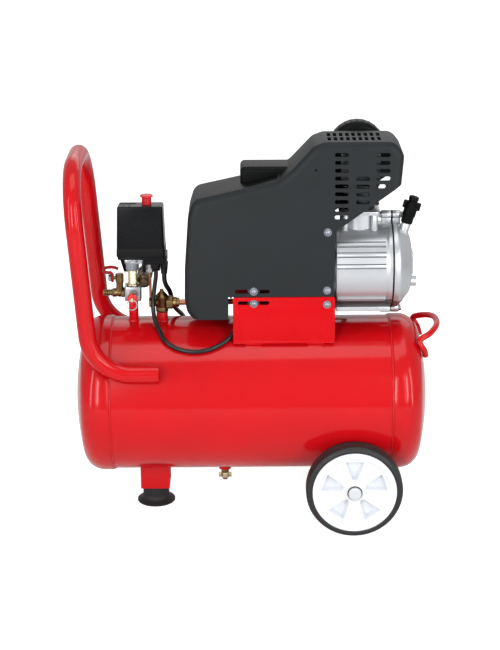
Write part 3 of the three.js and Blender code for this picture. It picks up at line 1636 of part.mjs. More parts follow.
function switchNut() {
  const low = nutLow();
  const body = rod([RISER.x, 0, low], [RISER.x, 0, low + NIPPLE.nutHeight], NIPPLE.nut, HEX);
  return piece("switch_nut", body, ZINC_PLATED);
}

const safetyY = (along) => -MANIFOLD.half - GAP - along;

function safetyBody() {
  const at = (along) => [RISER.x, safetyY(along), SAFETY.z];
  const body = join(
    rod(at(0), at(SAFETY.hexLength), SAFETY.hex, HEX),
    rod(at(0), at(SAFETY.length), SAFETY.barrel, SMALL),
  );
  return piece("safety_valve_body", body, BRASS);
}

function safetyPlunger() {
  const start = SAFETY.length + GAP;
  const at = (along) => [RISER.x, safetyY(start + along), SAFETY.z];
  const eyeY = safetyY(start + SAFETY.capLength + SAFETY.stemLength - SAFETY.eyeBack);
  const reach = SAFETY.cap;
  const body = join(
    rod(at(0), at(SAFETY.capLength), SAFETY.cap, ROUND),
    rod(at(0), at(SAFETY.capLength + SAFETY.stemLength), SAFETY.stem, SMALL),
  );
  const eye = rod([RISER.x - reach, eyeY, SAFETY.z], [RISER.x + reach, eyeY, SAFETY.z], SAFETY.eye, SMALL);
  return piece("safety_plunger", cut(body, eye), RED_PLASTIC);
}

function pullRing() {
  const eyeAlong = SAFETY.length + GAP + SAFETY.capLength + SAFETY.stemLength - SAFETY.eyeBack;
  const geometry = new THREE.TorusGeometry(SAFETY.ring, SAFETY.wire, HEX, ROUND - 2);
  geometry.rotateX(Math.PI / 2).translate(RISER.x, safetyY(eyeAlong), SAFETY.z - SAFETY.ring);
  return piece("pull_ring", solid(geometry), STEEL);
}

function outletCock() {
  const { y, z, columnX } = COCK;
  const start = RISER.x - MANIFOLD.half - GAP;
  const body = join(
    rod([start, y, z], [COCK.bodyX, y, z], COCK.body, SMALL),
    rod([COCK.bodyX + GAP, y, z], [COCK.barbX, y, z], COCK.barb, SMALL),
    rod([columnX, y, z], [columnX, y, COCK.columnTop], COCK.column, SMALL),
    rod([columnX, y, COCK.spindleZ], [COCK.spindleX, y, COCK.spindleZ], COCK.spindle, SMALL),
    rod([COCK.nutX, y, COCK.spindleZ], [COCK.spindleX, y, COCK.spindleZ], COCK.nut, HEX),
  );
  return piece("outlet_cock_body", body, BRASS);
}

// The lever's arm rises from its hub, curls back over the column and stays clear of it as it turns.
function cockLever() {
  const { y, spindleZ, hub, hubLowX, hubHighX, arm, columnX, barbX } = COCK;
  const middle = (hubLowX + hubHighX) / 2;
  const tip = barbX + arm;
  const rise = spindleZ + 2 * hub + arm;
  const corners = [
    [middle, y, spindleZ + hub - arm],
    [middle - arm, y, spindleZ + hub + arm / 2],
    [tip, y, spindleZ + hub + arm],
    [tip, y, rise],
    [columnX, y, rise],
  ];
  const radii = [arm / 2, arm, 2 * arm];
  const body = join(
    rod([hubLowX, y, spindleZ], [hubHighX, y, spindleZ], hub, ROUND),
    tube(bentRoute(corners, radii, 2), arm, HEX),
  );
  const bore = rod([hubLowX - GAP, y, spindleZ], [hubHighX + GAP, y, spindleZ], COCK.spindle + GAP, SMALL);
  return piece("cock_lever", cut(body, bore), RED_PLASTIC);
}

function regulatorBody() {
  const { x, z, radius, length, neck, neckLength } = REGULATOR;
  const start = MANIFOLD.half + GAP;
  const body = join(
    rod([x, start, z], [x, start + length, z], radius, ROUND),
    rod([x, start, z], [x, start + length + neckLength, z], neck, SMALL),
  );
  return piece("regulator_body", body, BRASS);
}

function regulatorKnob() {
  const { x, z, length, knob, knobLength, neck, neckLength } = REGULATOR;
  const low = MANIFOLD.half + 2 * GAP + length;
  const body = rod([x, low, z], [x, low + knobLength, z], knob, ROUND);
  const socket = rod([x, low - OVERRUN, z], [x, low + neckLength, z], neck + RUNNING, SMALL);
  return piece("regulator_knob", cut(body, socket), BLACK_PLASTIC);
}

function pressureGauge() {
  const { y, z, radius, depth, bezel, recess, stem, stemY, pin } = GAUGE;
  const x = REGULATOR.x;
  const dial = y + depth - recess;
  const body = join(
    cut(
      rod([x, y, z], [x, y + depth, z], radius, MEDIUM),
      rod([x, dial, z], [x, y + depth + OVERRUN, z], radius - bezel, MEDIUM),
    ),
    rod([x, stemY, REGULATOR.z + REGULATOR.radius + GAP], [x, stemY, z - radius / 2], stem, SMALL),
    rod([x, dial - recess / 2, z], [x, dial + recess / 2, z], pin, TINY),
  );
  return piece("pressure_gauge", body, STEEL);
}

// The needle rests on its stop, at the dial's lower left.
function gaugeNeedle() {
  const { y, z, depth, recess, needle, needleHalf, needleHub, needleSheet, pin } = GAUGE;
  const body = join(
    rod([0, 0, 0], [0, needleSheet, 0], needleHub, SMALL),
    box([-needleHalf, 0, 0], [needleHalf, needleSheet, needle]),
  );
  const bore = rod([0, -GAP, 0], [0, needleSheet + GAP, 0], pin + GAP, TINY);
  const mesh = piece("gauge_needle", cut(body, bore), RED_PLASTIC);
  mesh.position.set(REGULATOR.x, y + depth - recess + GAP, z);
  mesh.rotation.y = GAUGE.zero;
  return mesh;
}

// Drain under the tank

const drainTop = TANK.clearance - DRAIN_BOSS.height - GAP;

function drainBody() {
  const { x } = DRAIN_BOSS;
  const shoulder = drainTop - DRAIN.hexHeight;
  const body = join(
    rod([x, 0, drainTop], [x, 0, shoulder], DRAIN.hex, HEX),
    rod([x, 0, drainTop], [x, 0, shoulder - DRAIN.shankHeight], DRAIN.shank, SMALL),
  );
  return piece("drain_cock_body", body, BRASS);
}

function drainTap() {
  const { x } = DRAIN_BOSS;
  const top = drainTop - DRAIN.hexHeight - GAP;
  const low = top - DRAIN.tapHeight;
  const body = join(
    rod([x, 0, low], [x, 0, top], DRAIN.tap, SMALL),
    box([x - DRAIN.wing, -DRAIN.wingHalf, low], [x + DRAIN.wing, DRAIN.wingHalf, top - DRAIN.wingHalf]),
  );
  const bore = rod([x, 0, low - OVERRUN], [x, 0, top + GAP], DRAIN.shank + GAP, SMALL);
  return piece("drain_tap", cut(body, bore), BRASS);
}

// Cords

// The lead from the switch to the motor lies against the tank and ends at the motor's end shield.
const LEAD_POINTS = [
  [-158.5, -11, 393.7],
  [-158.8, -11.2, 384],
  [-162, -12.2, 362],
  [-164.3, -16, 336],
  [-161, -26, 317.5],
  [-153, -45, 305.3],
  [-144.3, -64, 295.8],
  [-128.6, -75, 288.4],
  [-105.4, -80.4, 283.8],
  [-82.4, -79.5, 284.8],
  [-62.5, -73, 290.2],
  [-47, -63, 297.6],
  [-37.5, -54, 307],
  [-33, -45, 322],
  [-32, -38, 338],
  [-29.5, -34.5, 351],
  [-24.5, -34, 357.2],
  [-16.3, -34, 358],
];

// The mains cord leaves its gland, passes behind the check valve and runs down the far side of the tank.
const CORD_POINTS = [
  [-146.5, 2, 384.1],
  [-146.5, 2.1, 375.5],
  [-144.4, 4.8, 365],
  [-140, 9.8, 355.5],
  [-137.4, 15.8, 345.5],
  [-136.6, 23.5, 334.5],
  [-134.8, 34, 323],
  [-129.8, 48.5, 310],
  [-123, 66, 296.6],
  [-119, 86, 280.5],
  [-118, 104, 260],
  [-118, 118, 233],
  [-118, 125, 203],
  [-118, 126.5, 170],
  [-119, 129, 120],
  [-121, 134.5, 75],
  [-120.5, 142, 43],
  [-115, 149.5, 22],
  [-104, 154.9, 9.8],
  [-89, 157.1, 5.3],
  [-75, 157.37, 4.85],
];

function motorLead() {
  const route = cordRoute(LEAD_POINTS, LEAD.steps, LEAD.radius);
  return piece("motor_lead", tube(route, LEAD.radius, LEAD.sides), RUBBER);
}

// The coil winds in on the ground, climbs a layer in half a turn and winds out again.
function coilRoute() {
  const route = [];
  const total = 2 * COIL_TURNS + 1 / 2;
  const steps = Math.round(total * LOOP_STEPS);
  for (let step = 0; step <= steps; step += 1) {
    const turns = (step / steps) * total;
    const climb = THREE.MathUtils.clamp((turns - COIL_TURNS) * 2, 0, 1);
    const out = turns < COIL_TURNS ? COIL_TURNS - turns : Math.max(turns - COIL_TURNS - 1 / 2, 0);
    const radius = COIL.inner + COIL.pitch * out - COIL.tuck * Math.sin(Math.PI * climb);
    const angle = COIL_START + turns * 2 * Math.PI;
    route.push(
      new THREE.Vector3(
        COIL.x + radius * Math.cos(angle),
        COIL.y + radius * Math.sin(angle),
        coilLow + COIL.layer * climb,
      ),
    );
  }
  return route;
}

function coilExit() {
  const angle = COIL_START + (2 * COIL_TURNS + 1 / 2) * 2 * Math.PI;
  return { end: coilRoute().at(-1), along: new THREE.Vector3(-Math.sin(angle), Math.cos(angle), 0) };
}

function coilWithTail() {
  const { end, along } = coilExit();
  const start = new THREE.Vector3(COIL.x, COIL.y - coilOuter, coilLow);
  const lead = start.clone().addScaledVector(X_AXIS, -2 * CORD.radius);
  const plugZ = PLUG.z;
  const tailShares = [0.2, 0.4, 0.6, 0.8, 1];
  const [level, , , high] = tailShares;
  const tail = tailShares.map((share) => {
    const rise = THREE.MathUtils.smoothstep(share, level, high);
    const height = THREE.MathUtils.lerp(end.z, plugZ, rise);
    return end.clone().addScaledVector(along, share * COIL.tail).setZ(height);
  });
  return [lead, ...coilRoute(), ...tail];
}

function cordRun() {
  const coilStart = [COIL.x - 2 * CORD.radius - GAP, COIL.y - coilOuter, coilLow];
  const route = cordRoute([...CORD_POINTS, coilStart], CORD.steps, CORD.radius);
  return { route, mesh: piece("cord_run", tube(route, CORD.radius, CORD.sides), RUBBER) };
}

function cordCoil() {
  const route = coilWithTail();
  return { route, mesh: piece("cord_coil", tube(route, CORD.radius, COIL.sides), RUBBER) };
}

function cordTie() {
  const inner = COIL.inner - CORD.radius - GAP;
  const outer = coilOuter + CORD.radius + GAP;
  const high = coilLow + COIL.layer + CORD.radius + GAP;
  const low = TIE.sheet;
  const band = box(
    [inner - TIE.sheet, -TIE.width / 2, 0],
    [outer + TIE.sheet, TIE.width / 2, high + TIE.sheet],
  );
  const room = box([inner, -TIE.width, low], [outer, TIE.width, high]);
  const mesh = piece("cord_tie", cut(band, room), BLACK_PLASTIC);
  mesh.position.set(COIL.x, COIL.y, 0);
  mesh.rotation.z = TIE.angle;
  return mesh;
}

function mainsPlug() {
  const { radius, z, length, neck, neckLength, pin, pinLength, pinSpread } = PLUG;
  const profile = [
    [0, 0],
    [neck, 0],
    [neck, neckLength],
    [radius, 2 * neckLength],
    [radius, length],
    [0, length],
  ];
  const pins = [-1, 1].map((side) =>
    rod([side * pinSpread, length - GAP, 0], [side * pinSpread, length + pinLength, 0], pin, SMALL),
  );
  const mesh = piece("mains_plug", join(turned(profile, [0, 0, 0], Y_AXIS, ROUND), ...pins), RUBBER);
  const { end, along } = coilExit();
  const seat = end.clone().addScaledVector(along, COIL.tail + GAP);
  mesh.position.set(seat.x, seat.y, z);
  mesh.quaternion.setFromUnitVectors(Y_AXIS, along);
  return mesh;
}

// Assembly

function groupOf(...children) {
  const group = new THREE.Group();
  group.add(...children);
  return group;
}

const tank = groupOf(
  tankShell(),
  tankHead("tank_head_front", -1),
  tankHead("tank_head_rear", 1),
  pushHandle(),
  liftHandle(),
  bracketPlate("bracket_plate_near", -1),
  bracketPlate("bracket_plate_far", 1),
);
const undercarriage = groupOf(footBracket(), rubberFoot(), axleBracket(), wheel("near", -1), wheel("far", 1));
const motor = groupOf(stator(), endShield(), capacitor(), rotor(), coolingFan(), crankshaft());
const pump = groupOf(
  crankcase(),
  coverGasket(),
  endCover(),
  breatherPlug(),
  cylinderBarrel(),
  valvePlate(),
  cylinderHead(),
  airFilter(),
  connectingRod(),
  piston(),
);
const controls = groupOf(
  switchBase(),
  switchCover(),
  switchPlate(),
  switchKnob(),
  cordGland(),
  manifoldBlock(),
  nipple(),
  switchNut(),
  safetyBody(),
  safetyPlunger(),
  pullRing(),
  outletCock(),
  cockLever(),
  regulatorBody(),
  regulatorKnob(),
  pressureGauge(),
  gaugeNeedle(),
);
const plumbing = groupOf(checkValve(), dischargePipe(), unloaderTube(), drainBody(), drainTap(), motorLead());
const run = cordRun();
const coil = cordCoil();
const cord = groupOf(run.mesh, coil.mesh, cordTie(), mainsPlug());

console.log("least gap of the coil to itself, mm:", leastGap(coil.route, CORD.radius).toFixed(2));
console.log("length of the mains cord, mm:", (routeLength(run.route) + routeLength(coil.route)).toFixed(0));

const compressor = groupOf(tank, undercarriage, motor, pump, cowl(), controls, plumbing, cord);

export default compressor;
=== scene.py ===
"""A direct-drive air compressor on a 24 litre tank: its looks, its floor and its light.

Sizes are in millimetres in the code and become metres when a mesh is made.
X runs along the tank, the push handle at its low end. The side with the screws faces -Y. Z is up.
"""
import json
import math

import bmesh
import bpy
from mathutils import Matrix, Vector

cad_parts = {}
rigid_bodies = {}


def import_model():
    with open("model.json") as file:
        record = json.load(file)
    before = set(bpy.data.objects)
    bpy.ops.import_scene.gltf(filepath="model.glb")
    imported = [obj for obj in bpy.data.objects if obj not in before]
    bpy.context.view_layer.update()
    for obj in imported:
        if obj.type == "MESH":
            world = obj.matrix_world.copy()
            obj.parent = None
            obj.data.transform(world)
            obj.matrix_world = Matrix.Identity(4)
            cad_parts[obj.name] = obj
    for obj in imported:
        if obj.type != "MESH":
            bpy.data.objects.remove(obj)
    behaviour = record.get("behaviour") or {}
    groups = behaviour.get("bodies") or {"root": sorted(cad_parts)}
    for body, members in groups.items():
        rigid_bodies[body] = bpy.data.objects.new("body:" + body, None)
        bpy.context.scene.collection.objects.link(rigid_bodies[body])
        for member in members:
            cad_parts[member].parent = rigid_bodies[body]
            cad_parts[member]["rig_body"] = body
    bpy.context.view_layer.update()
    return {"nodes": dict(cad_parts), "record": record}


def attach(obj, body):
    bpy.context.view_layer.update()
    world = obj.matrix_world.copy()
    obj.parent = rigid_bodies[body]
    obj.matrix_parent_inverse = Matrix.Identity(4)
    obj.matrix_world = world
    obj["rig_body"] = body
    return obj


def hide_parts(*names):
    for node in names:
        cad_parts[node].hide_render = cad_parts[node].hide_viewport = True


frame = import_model()
MM = 0.001

# ---- Sizes shared by several pieces

TANK = {"radius": 121, "centre": -11.5, "axis": 188, "seam": 218.5, "skirt": 14.5, "knuckle": 32, "end": 14}
TANK_TOP = TANK["axis"] + TANK["radius"]
SHAFT_Z = 400
CYLINDER_X = 156
RISER_X, VALVE_X, DRAIN_X = -195.5, -151, -55
SIDES = 96
FINE_SIDES = 160


# ---- Making meshes

def mm(point):
    return Vector(point) * MM


def shape(points, faces, material=0):
    """Points in millimetres and faces, with the number of the material they take."""
    return [(list(points), list(faces), material)]


def of_material(shapes, number):
    return [(points, faces, number) for points, faces, _ in shapes]


def moved(shapes, matrix):
    return [([matrix @ Vector(p) for p in points], faces, number) for points, faces, number in shapes]


def facing(direction):
    """A turn that takes +Z to a direction."""
    return Vector((0, 0, 1)).rotation_difference(Vector(direction).normalized()).to_matrix().to_4x4()


def placed(origin, direction=(0, 0, 1)):
    return Matrix.Translation(Vector(origin)) @ facing(direction)


def grid(rings, closed):
    """Rings of equally many points, joined by quads and, unless closed on themselves, by end caps."""
    count = len(rings[0])
    points = [p for ring in rings for p in ring]
    faces = []
    for at in range(len(rings) if closed else len(rings) - 1):
        low, high = at * count, (at + 1) % len(rings) * count
        for side in range(count):
            on = (side + 1) % count
            faces.append((low + side, low + on, high + on, high + side))
    if not closed:
        faces.append(tuple(reversed(range(count))))
        faces.append(tuple(range(len(points) - count, len(points))))
    return shape(points, faces)


def circle_points(sides):
    angles = [2 * math.pi * side / sides for side in range(sides)]
    return [(math.cos(angle), math.sin(angle)) for angle in angles]


def turned(profile, origin=(0, 0, 0), direction=(0, 0, 1), sides=SIDES):
    """A profile of (radius, distance along the axis), from axis to axis or closed on itself."""
    closed = profile[0] == profile[-1] and profile[0][0] > 0
    rows = profile[:-1] if closed else profile
    points, starts = [], []
    for radius, along in rows:
        starts.append(len(points))
        if radius <= 1e-6:
            points.append((0, 0, along))
        else:
            points += [(radius * c, radius * s, along) for c, s in circle_points(sides)]
    faces = []
    pairs = list(zip(range(len(rows)), range(1, len(rows)))) + ([(len(rows) - 1, 0)] if closed else [])
    for low, high in pairs:
        a, b = starts[low], starts[high]
        pole_low, pole_high = rows[low][0] <= 1e-6, rows[high][0] <= 1e-6
        for side in range(sides):
            on = (side + 1) % sides
            if pole_low and not pole_high:
                faces.append((a, b + on, b + side))
            elif pole_high and not pole_low:
                faces.append((a + side, a + on, b))
            elif not pole_low:
                faces.append((a + side, a + on, b + on, b + side))
    return moved(shape(points, faces), placed(origin, direction))


def bar(start, end, radius, sides=48, edge=0.4, end_radius=None):
    """A round bar between two points with eased ends, or with few sides a hexagon."""
    start, end = Vector(start), Vector(end)
    length = (end - start).length
    last = radius if end_radius is None else end_radius
    edge = min(edge, radius / 2, last / 2, length / 3)
    profile = [(0, 0), (radius - edge, 0), (radius - edge * 0.3, edge * 0.3), (radius, edge)]
    profile += [(last, length - edge), (last - edge * 0.3, length - edge * 0.3), (last - edge, length), (0, length)]
    return turned(profile, start, end - start, sides)


def pipe_wall(outer, inner, low, high, origin, direction, sides=SIDES, edge=0.3):
    profile = [(inner, low), (outer - edge, low), (outer, low + edge), (outer, high - edge), (outer - edge, high)]
    profile += [(inner, high), (inner, low)]
    return turned(profile, origin, direction, sides)


def box(low, high):
    (a, b, c), (d, e, f) = low, high
    points = [(a, b, c), (d, b, c), (d, e, c), (a, e, c), (a, b, f), (d, b, f), (d, e, f), (a, e, f)]
    faces = [(0, 3, 2, 1), (4, 5, 6, 7), (0, 1, 5, 4), (1, 2, 6, 5), (2, 3, 7, 6), (3, 0, 4, 7)]
    return shape(points, faces)


def prism(outline, axis, low, high):
    """A flat outline drawn out along an axis."""
    place = {"x": lambda p, t: (t, p[0], p[1]), "y": lambda p, t: (p[0], t, p[1]), "z": lambda p, t: (p[0], p[1], t)}
    return grid([[place[axis](p, low) for p in outline], [place[axis](p, high) for p in outline]], False)


def rounded(points, radii, steps=8):
    """A flat outline with true arcs at its corners."""
    result = []
    for at, corner in enumerate(points):
        corner = Vector(corner)
        back, on = Vector(points[at - 1]) - corner, Vector(points[(at + 1) % len(points)]) - corner
        room = min(back.length, on.length) / 2
        back.normalize()
        on.normalize()
        half = math.acos(max(-1, min(1, back.dot(on)))) / 2
        radius = min(radii[at] if isinstance(radii, (list, tuple)) else radii, room * math.tan(half) * 0.98)
        if radius <= 0 or half > math.pi * 0.49:
            result.append(tuple(corner))
            continue
        middle = corner + (back + on).normalized() * radius / math.sin(half)
        arm = corner + back * radius / math.tan(half) - middle
        cross = back.x * on.y - back.y * on.x
        turn = -math.copysign(math.pi - 2 * half, cross)
        count = max(2, math.ceil(abs(turn) / math.pi * 2 * steps))
        for step in range(count + 1):
            angle = turn * step / count
            x = arm.x * math.cos(angle) - arm.y * math.sin(angle)
            y = arm.x * math.sin(angle) + arm.y * math.cos(angle)
            result.append((middle.x + x, middle.y + y))
    return result


def rectangle(low_x, low_y, high_x, high_y):
    return [(low_x, low_y), (high_x, low_y), (high_x, high_y), (low_x, high_y)]


def slot_outline(low_x, high_x, y, half):
    return rounded(rectangle(low_x, y - half, high_x, y + half), half, 6)


def inwards(points, amounts):
    """An outline with each edge moved inwards by its own amount."""
    area = sum(points[i - 1][0] * points[i][1] - points[i][0] * points[i - 1][1] for i in range(len(points)))
    turn = 1 if area > 0 else -1
    lines = []
    for at, point in enumerate(points):
        along = (Vector(points[(at + 1) % len(points)]) - Vector(point)).normalized()
        normal = Vector((-along.y, along.x)) * turn * amounts[at]
        lines.append((along, Vector(point) + normal))
    result = []
    for at, (along, through) in enumerate(lines):
        last_along, last_through = lines[at - 1]
        across = last_along.x * along.y - last_along.y * along.x
        between = through - last_through
        share = (between.x * along.y - between.y * along.x) / across
        result.append(tuple(last_through + last_along * share))
    return result


def shrunk(points, amount):
    """A finely rounded outline, each point moved inwards along its own normal."""
    area = sum(points[i - 1][0] * points[i][1] - points[i][0] * points[i - 1][1] for i in range(len(points)))
    turn = 1 if area > 0 else -1
    result = []
    for at, point in enumerate(points):
        back = (Vector(point) - Vector(points[at - 1])).normalized()
        on = (Vector(points[(at + 1) % len(points)]) - Vector(point)).normalized()
        normal = Vector((-(back.y + on.y), back.x + on.x)).normalized() * turn
        lean = max(0.5, normal.dot(Vector((-on.y, on.x)) * turn))
        result.append(tuple(Vector(point) + normal * amount / lean))
    return result


def linked(name, data):
    thing = bpy.data.objects.new(name, data)
    bpy.context.scene.collection.objects.link(thing)
    return thing


def make(name, shapes, materials):
    """A mesh object from shapes, its faces turned outwards."""
    mesh = bpy.data.meshes.new(name)
    points, faces, numbers = [], [], []
    for some, own, number in shapes:
        start = len(points)
        points += [mm(p) for p in some]
        faces += [tuple(start + i for i in face) for face in own]
        numbers += [number] * len(own)
    mesh.from_pydata(points, [], faces)
    mesh.polygons.foreach_set("material_index", numbers)
    for material in materials:
        mesh.materials.append(material)
    work = bmesh.new()
    work.from_mesh(mesh)
    bmesh.ops.recalc_face_normals(work, faces=work.faces)
    work.to_mesh(mesh)
    work.free()
    return linked(name, mesh)


def settle(thing):
    """Turns what an object's modifiers make into its own plain mesh."""
    graph = bpy.context.evaluated_depsgraph_get()
    mesh = bpy.data.meshes.new_from_object(thing.evaluated_get(graph))
    thing.modifiers.clear()
    old = thing.data
    thing.data = mesh
    mesh.name = thing.name
    bpy.data.meshes.remove(old)
    return thing


def eased(thing, width, segments=2, angle=35):
    bevel = thing.modifiers.new("eased edges", "BEVEL")
    bevel.width = width * MM
    bevel.segments = segments
    bevel.limit_method = "ANGLE"
    bevel.angle_limit = math.radians(angle)
    return settle(thing)


def carved(thing, tool, operation="DIFFERENCE"):
    cut = thing.modifiers.new("cut", "BOOLEAN")
    cut.operation = operation
    cut.solver = "EXACT"
    cut.object = tool
    settle(thing)
    bpy.data.objects.remove(tool)
    return thing


def as_shape(thing, material=0):
    """An object's mesh as points in millimetres and faces; the object goes."""
    points = [v.co / MM for v in thing.data.vertices]
    faces = [tuple(p.vertices) for p in thing.data.polygons]
    bpy.data.objects.remove(thing)
    return shape(points, faces, material)


def ready(thing, *nodes, body="frame", slot=None, angle=32):
    """Smooths a finished piece, lets it ride on its body and hides the frame's nodes it stands for. Its slot is not
    used.
    """
    thing.data.shade_smooth()
    thing.data.set_sharp_from_angle(angle=math.radians(angle))
    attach(thing, body)
    if nodes:
        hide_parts(*nodes)
    return thing


def piece(name, shapes, materials, *nodes, edge=0, segments=2, **named):
    thing = make(name, shapes, materials if isinstance(materials, list) else [materials])
    if edge:
        eased(thing, edge, segments)
    return ready(thing, *nodes, **named)


def carried(node, material, edge=0.4, segments=2):
    """The frame's own piece with its facets welded, its flats joined and its edges eased."""
    source = frame["nodes"][node]
    mesh = source.data.copy()
    mesh.materials.clear()
    mesh.materials.append(material)
    work = bmesh.new()
    work.from_mesh(mesh)
    for face in work.faces:
        face.material_index = 0
    bmesh.ops.remove_doubles(work, verts=work.verts, dist=2e-6)
    bmesh.ops.dissolve_limit(work, angle_limit=math.radians(1.5), verts=work.verts, edges=work.edges)
    work.to_mesh(mesh)
    work.free()
    thing = linked(node + "_dressed", mesh)
    eased(thing, edge, segments, 28)
    slot = next(s["material_slot"] for s in frame["record"]["subparts"] if s["node"] == node)
    return ready(thing, node, body=source["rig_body"], slot=slot)


# ---- Paths

def bent(corners, radii, steps=14):
    """Straight runs between corners, joined by bends."""
    corners = [Vector(c) for c in corners]
    route = [corners[0]]
    for at in range(1, len(corners) - 1):
        corner = corners[at]
        back, on = (corners[at - 1] - corner).normalized(), (corners[at + 1] - corner).normalized()
        half = back.angle(on) / 2
        radius = radii[at - 1]
        middle = corner + (back + on).normalized() * radius / math.sin(half)
        start = corner + back * radius / math.tan(half) - middle
        axis = -back.cross(on).normalized()
        for step in range(steps + 1):
            route.append(middle + Matrix.Rotation((math.pi - 2 * half) * step / steps, 3, axis) @ start)
    return route + [corners[-1]]


def smooth(points, count):
    """A curve through the points, evenly spaced: a centripetal spline."""
    points = [Vector(p) for p in points]
    ghost = [points[0] * 2 - points[1]] + points + [points[-1] * 2 - points[-2]]
    dense = []
    for at in range(len(points) - 1):
        p0, p1, p2, p3 = ghost[at : at + 4]
        t0, t1, t2 = (math.sqrt((b - a).length) for a, b in ((p0, p1), (p1, p2), (p2, p3)))
        m1 = ((p1 - p0) / t0 - (p2 - p0) / (t0 + t1) + (p2 - p1) / t1) * t1
        m2 = ((p2 - p1) / t1 - (p3 - p1) / (t1 + t2) + (p3 - p2) / t2) * t1
        for step in range(40):
            t = step / 40
            a, b = 2 * t**3 - 3 * t**2 + 1, t**3 - 2 * t**2 + t
            c, d = -2 * t**3 + 3 * t**2, t**3 - t**2
            dense.append(p1 * a + m1 * b + p2 * c + m2 * d)
    dense.append(points[-1])
    reach = [0.0]
    for a, b in zip(dense, dense[1:]):
        reach.append(reach[-1] + (b - a).length)
    result, at = [], 0
    for step in range(count):
        want = reach[-1] * step / (count - 1)
        while at < len(dense) - 2 and reach[at + 1] < want:
            at += 1
        share = (want - reach[at]) / (reach[at + 1] - reach[at])
        result.append(dense[at].lerp(dense[at + 1], share))
    return result


def frames(points):
    """For each point its direction and a side vector that doesn't twist."""
    tangents = []
    for at in range(len(points)):
        tangents.append((points[min(at + 1, len(points) - 1)] - points[max(at - 1, 0)]).normalized())
    side = tangents[0].orthogonal().normalized()
    result = []
    for tangent in tangents:
        side = (side - tangent * side.dot(tangent)).normalized()
        result.append((tangent, side))
    return result


def swept(points, radius, sides=32, wall=None, bore=0):
    """A round tube along a path, its ends closed or, with a wall, open for the depth of its bore."""
    points = [Vector(p) for p in points]
    turns = frames(points)

    def circle(at, size, shift=0.0):
        tangent, side = turns[at]
        other = tangent.cross(side)
        return [points[at] + tangent * shift + side * size * c + other * size * s for c, s in circle_points(sides)]

    rings = [circle(at, radius) for at in range(len(points))]
    if wall:
        inner = radius - wall
        rings = [circle(0, inner, bore), circle(0, inner)] + rings
        rings += [circle(len(points) - 1, inner), circle(len(points) - 1, inner, -bore)]
    return grid(rings, False)


# ---- Geometry Nodes: what follows a path and what repeats

def add(tree, kind, inputs, **settings):
    """A new node with its settings, each input given a value or linked to another node's output."""
    node = tree.nodes.new(kind)
    for name, value in settings.items():
        setattr(node, name, value)
    for name, value in inputs.items():
        if isinstance(value, bpy.types.NodeSocket):
            tree.links.new(value, node.inputs[name])
        else:
            node.inputs[name].default_value = value
    return node


def node_group(kind, name, inputs, outputs):
    """A node group with its sockets, what its input node gives and what its output node takes."""
    group = bpy.data.node_groups.new(name, kind)
    for way, rows in (("OUTPUT", outputs), ("INPUT", inputs)):
        for label, sort, *value in rows:
            socket = group.interface.new_socket(label, in_out=way, socket_type="NodeSocket" + sort)
            if value:
                socket.default_value = value[0]
    return group, group.nodes.new("NodeGroupInput").outputs, group.nodes.new("NodeGroupOutput").inputs


def geometry_group(name, inputs):
    shape_socket = ("Geometry", "Geometry")
    group, given, result = node_group("GeometryNodeTree", name, [shape_socket, *inputs, ("Finish", "Material")],
                                      [shape_socket])
    group.is_modifier = True
    return group, given, result


def ending(group, given, result, geometry):
    """Real geometry with its finish, as every tree here ends."""
    real = add(group, "GeometryNodeRealizeInstances", {"Geometry": geometry})
    dressed = add(group, "GeometryNodeSetMaterial",
                  {"Geometry": real.outputs["Geometry"], "Material": given["Finish"]})
    group.links.new(dressed.outputs["Geometry"], result["Geometry"])


def tube_tree():
    """A round tube along a drawn line."""
    group, given, result = geometry_group("tube along a path", [("Radius", "Float", 0.004), ("Sides", "Int", 24)])
    line = add(group, "GeometryNodeMeshToCurve", {"Mesh": given["Geometry"]})
    ring = add(group, "GeometryNodeCurvePrimitiveCircle", {"Radius": given["Radius"], "Resolution": given["Sides"]})
    skin = add(group, "GeometryNodeCurveToMesh",
               {"Curve": line.outputs["Curve"], "Profile Curve": ring.outputs["Curve"], "Fill Caps": True})
    ending(group, given, result, skin.outputs["Mesh"])
    return group


def copies_tree():
    """Copies of one master on marked points, each turned to face out and lie along its row."""
    group, given, result = geometry_group("copies on marked points", [("Master", "Object")])
    turn = {}
    for mark, axis, pivot in (("facing", "Z", "AUTO"), ("along", "X", "Z")):
        named = add(group, "GeometryNodeInputNamedAttribute", {"Name": mark}, data_type="FLOAT_VECTOR")
        align = add(group, "FunctionNodeAlignRotationToVector", {"Vector": named.outputs["Attribute"], **turn},
                    axis=axis, pivot_axis=pivot)
        turn = {"Rotation": align.outputs["Rotation"]}
    master = add(group, "GeometryNodeObjectInfo", {"Object": given["Master"]})
    spread = add(group, "GeometryNodeInstanceOnPoints",
                 {"Points": given["Geometry"], "Instance": master.outputs["Geometry"], **turn})
    ending(group, given, result, spread.outputs["Instances"])
    return group


def grown(thing, group, **inputs):
    """Runs a geometry group on an object, its inputs found by their identifiers, and keeps the mesh it makes."""
    modifier = thing.modifiers.new(group.name, "NODES")
    modifier.node_group = group
    for item in group.interface.items_tree:
        if item.item_type == "SOCKET" and item.in_out == "INPUT" and item.name in inputs:
            modifier[item.identifier] = inputs[item.name]
    return settle(thing)


TUBE, COPIES = tube_tree(), copies_tree()


def tube_piece(name, points, radius, material, *nodes, sides=32):
    mesh = bpy.data.meshes.new(name)
    mesh.from_pydata([mm(p) for p in points], [(at, at + 1) for at in range(len(points) - 1)], [])
    thing = grown(linked(name, mesh), TUBE, Radius=radius * MM, Sides=sides, Finish=material)
    return ready(thing, *nodes, angle=50)


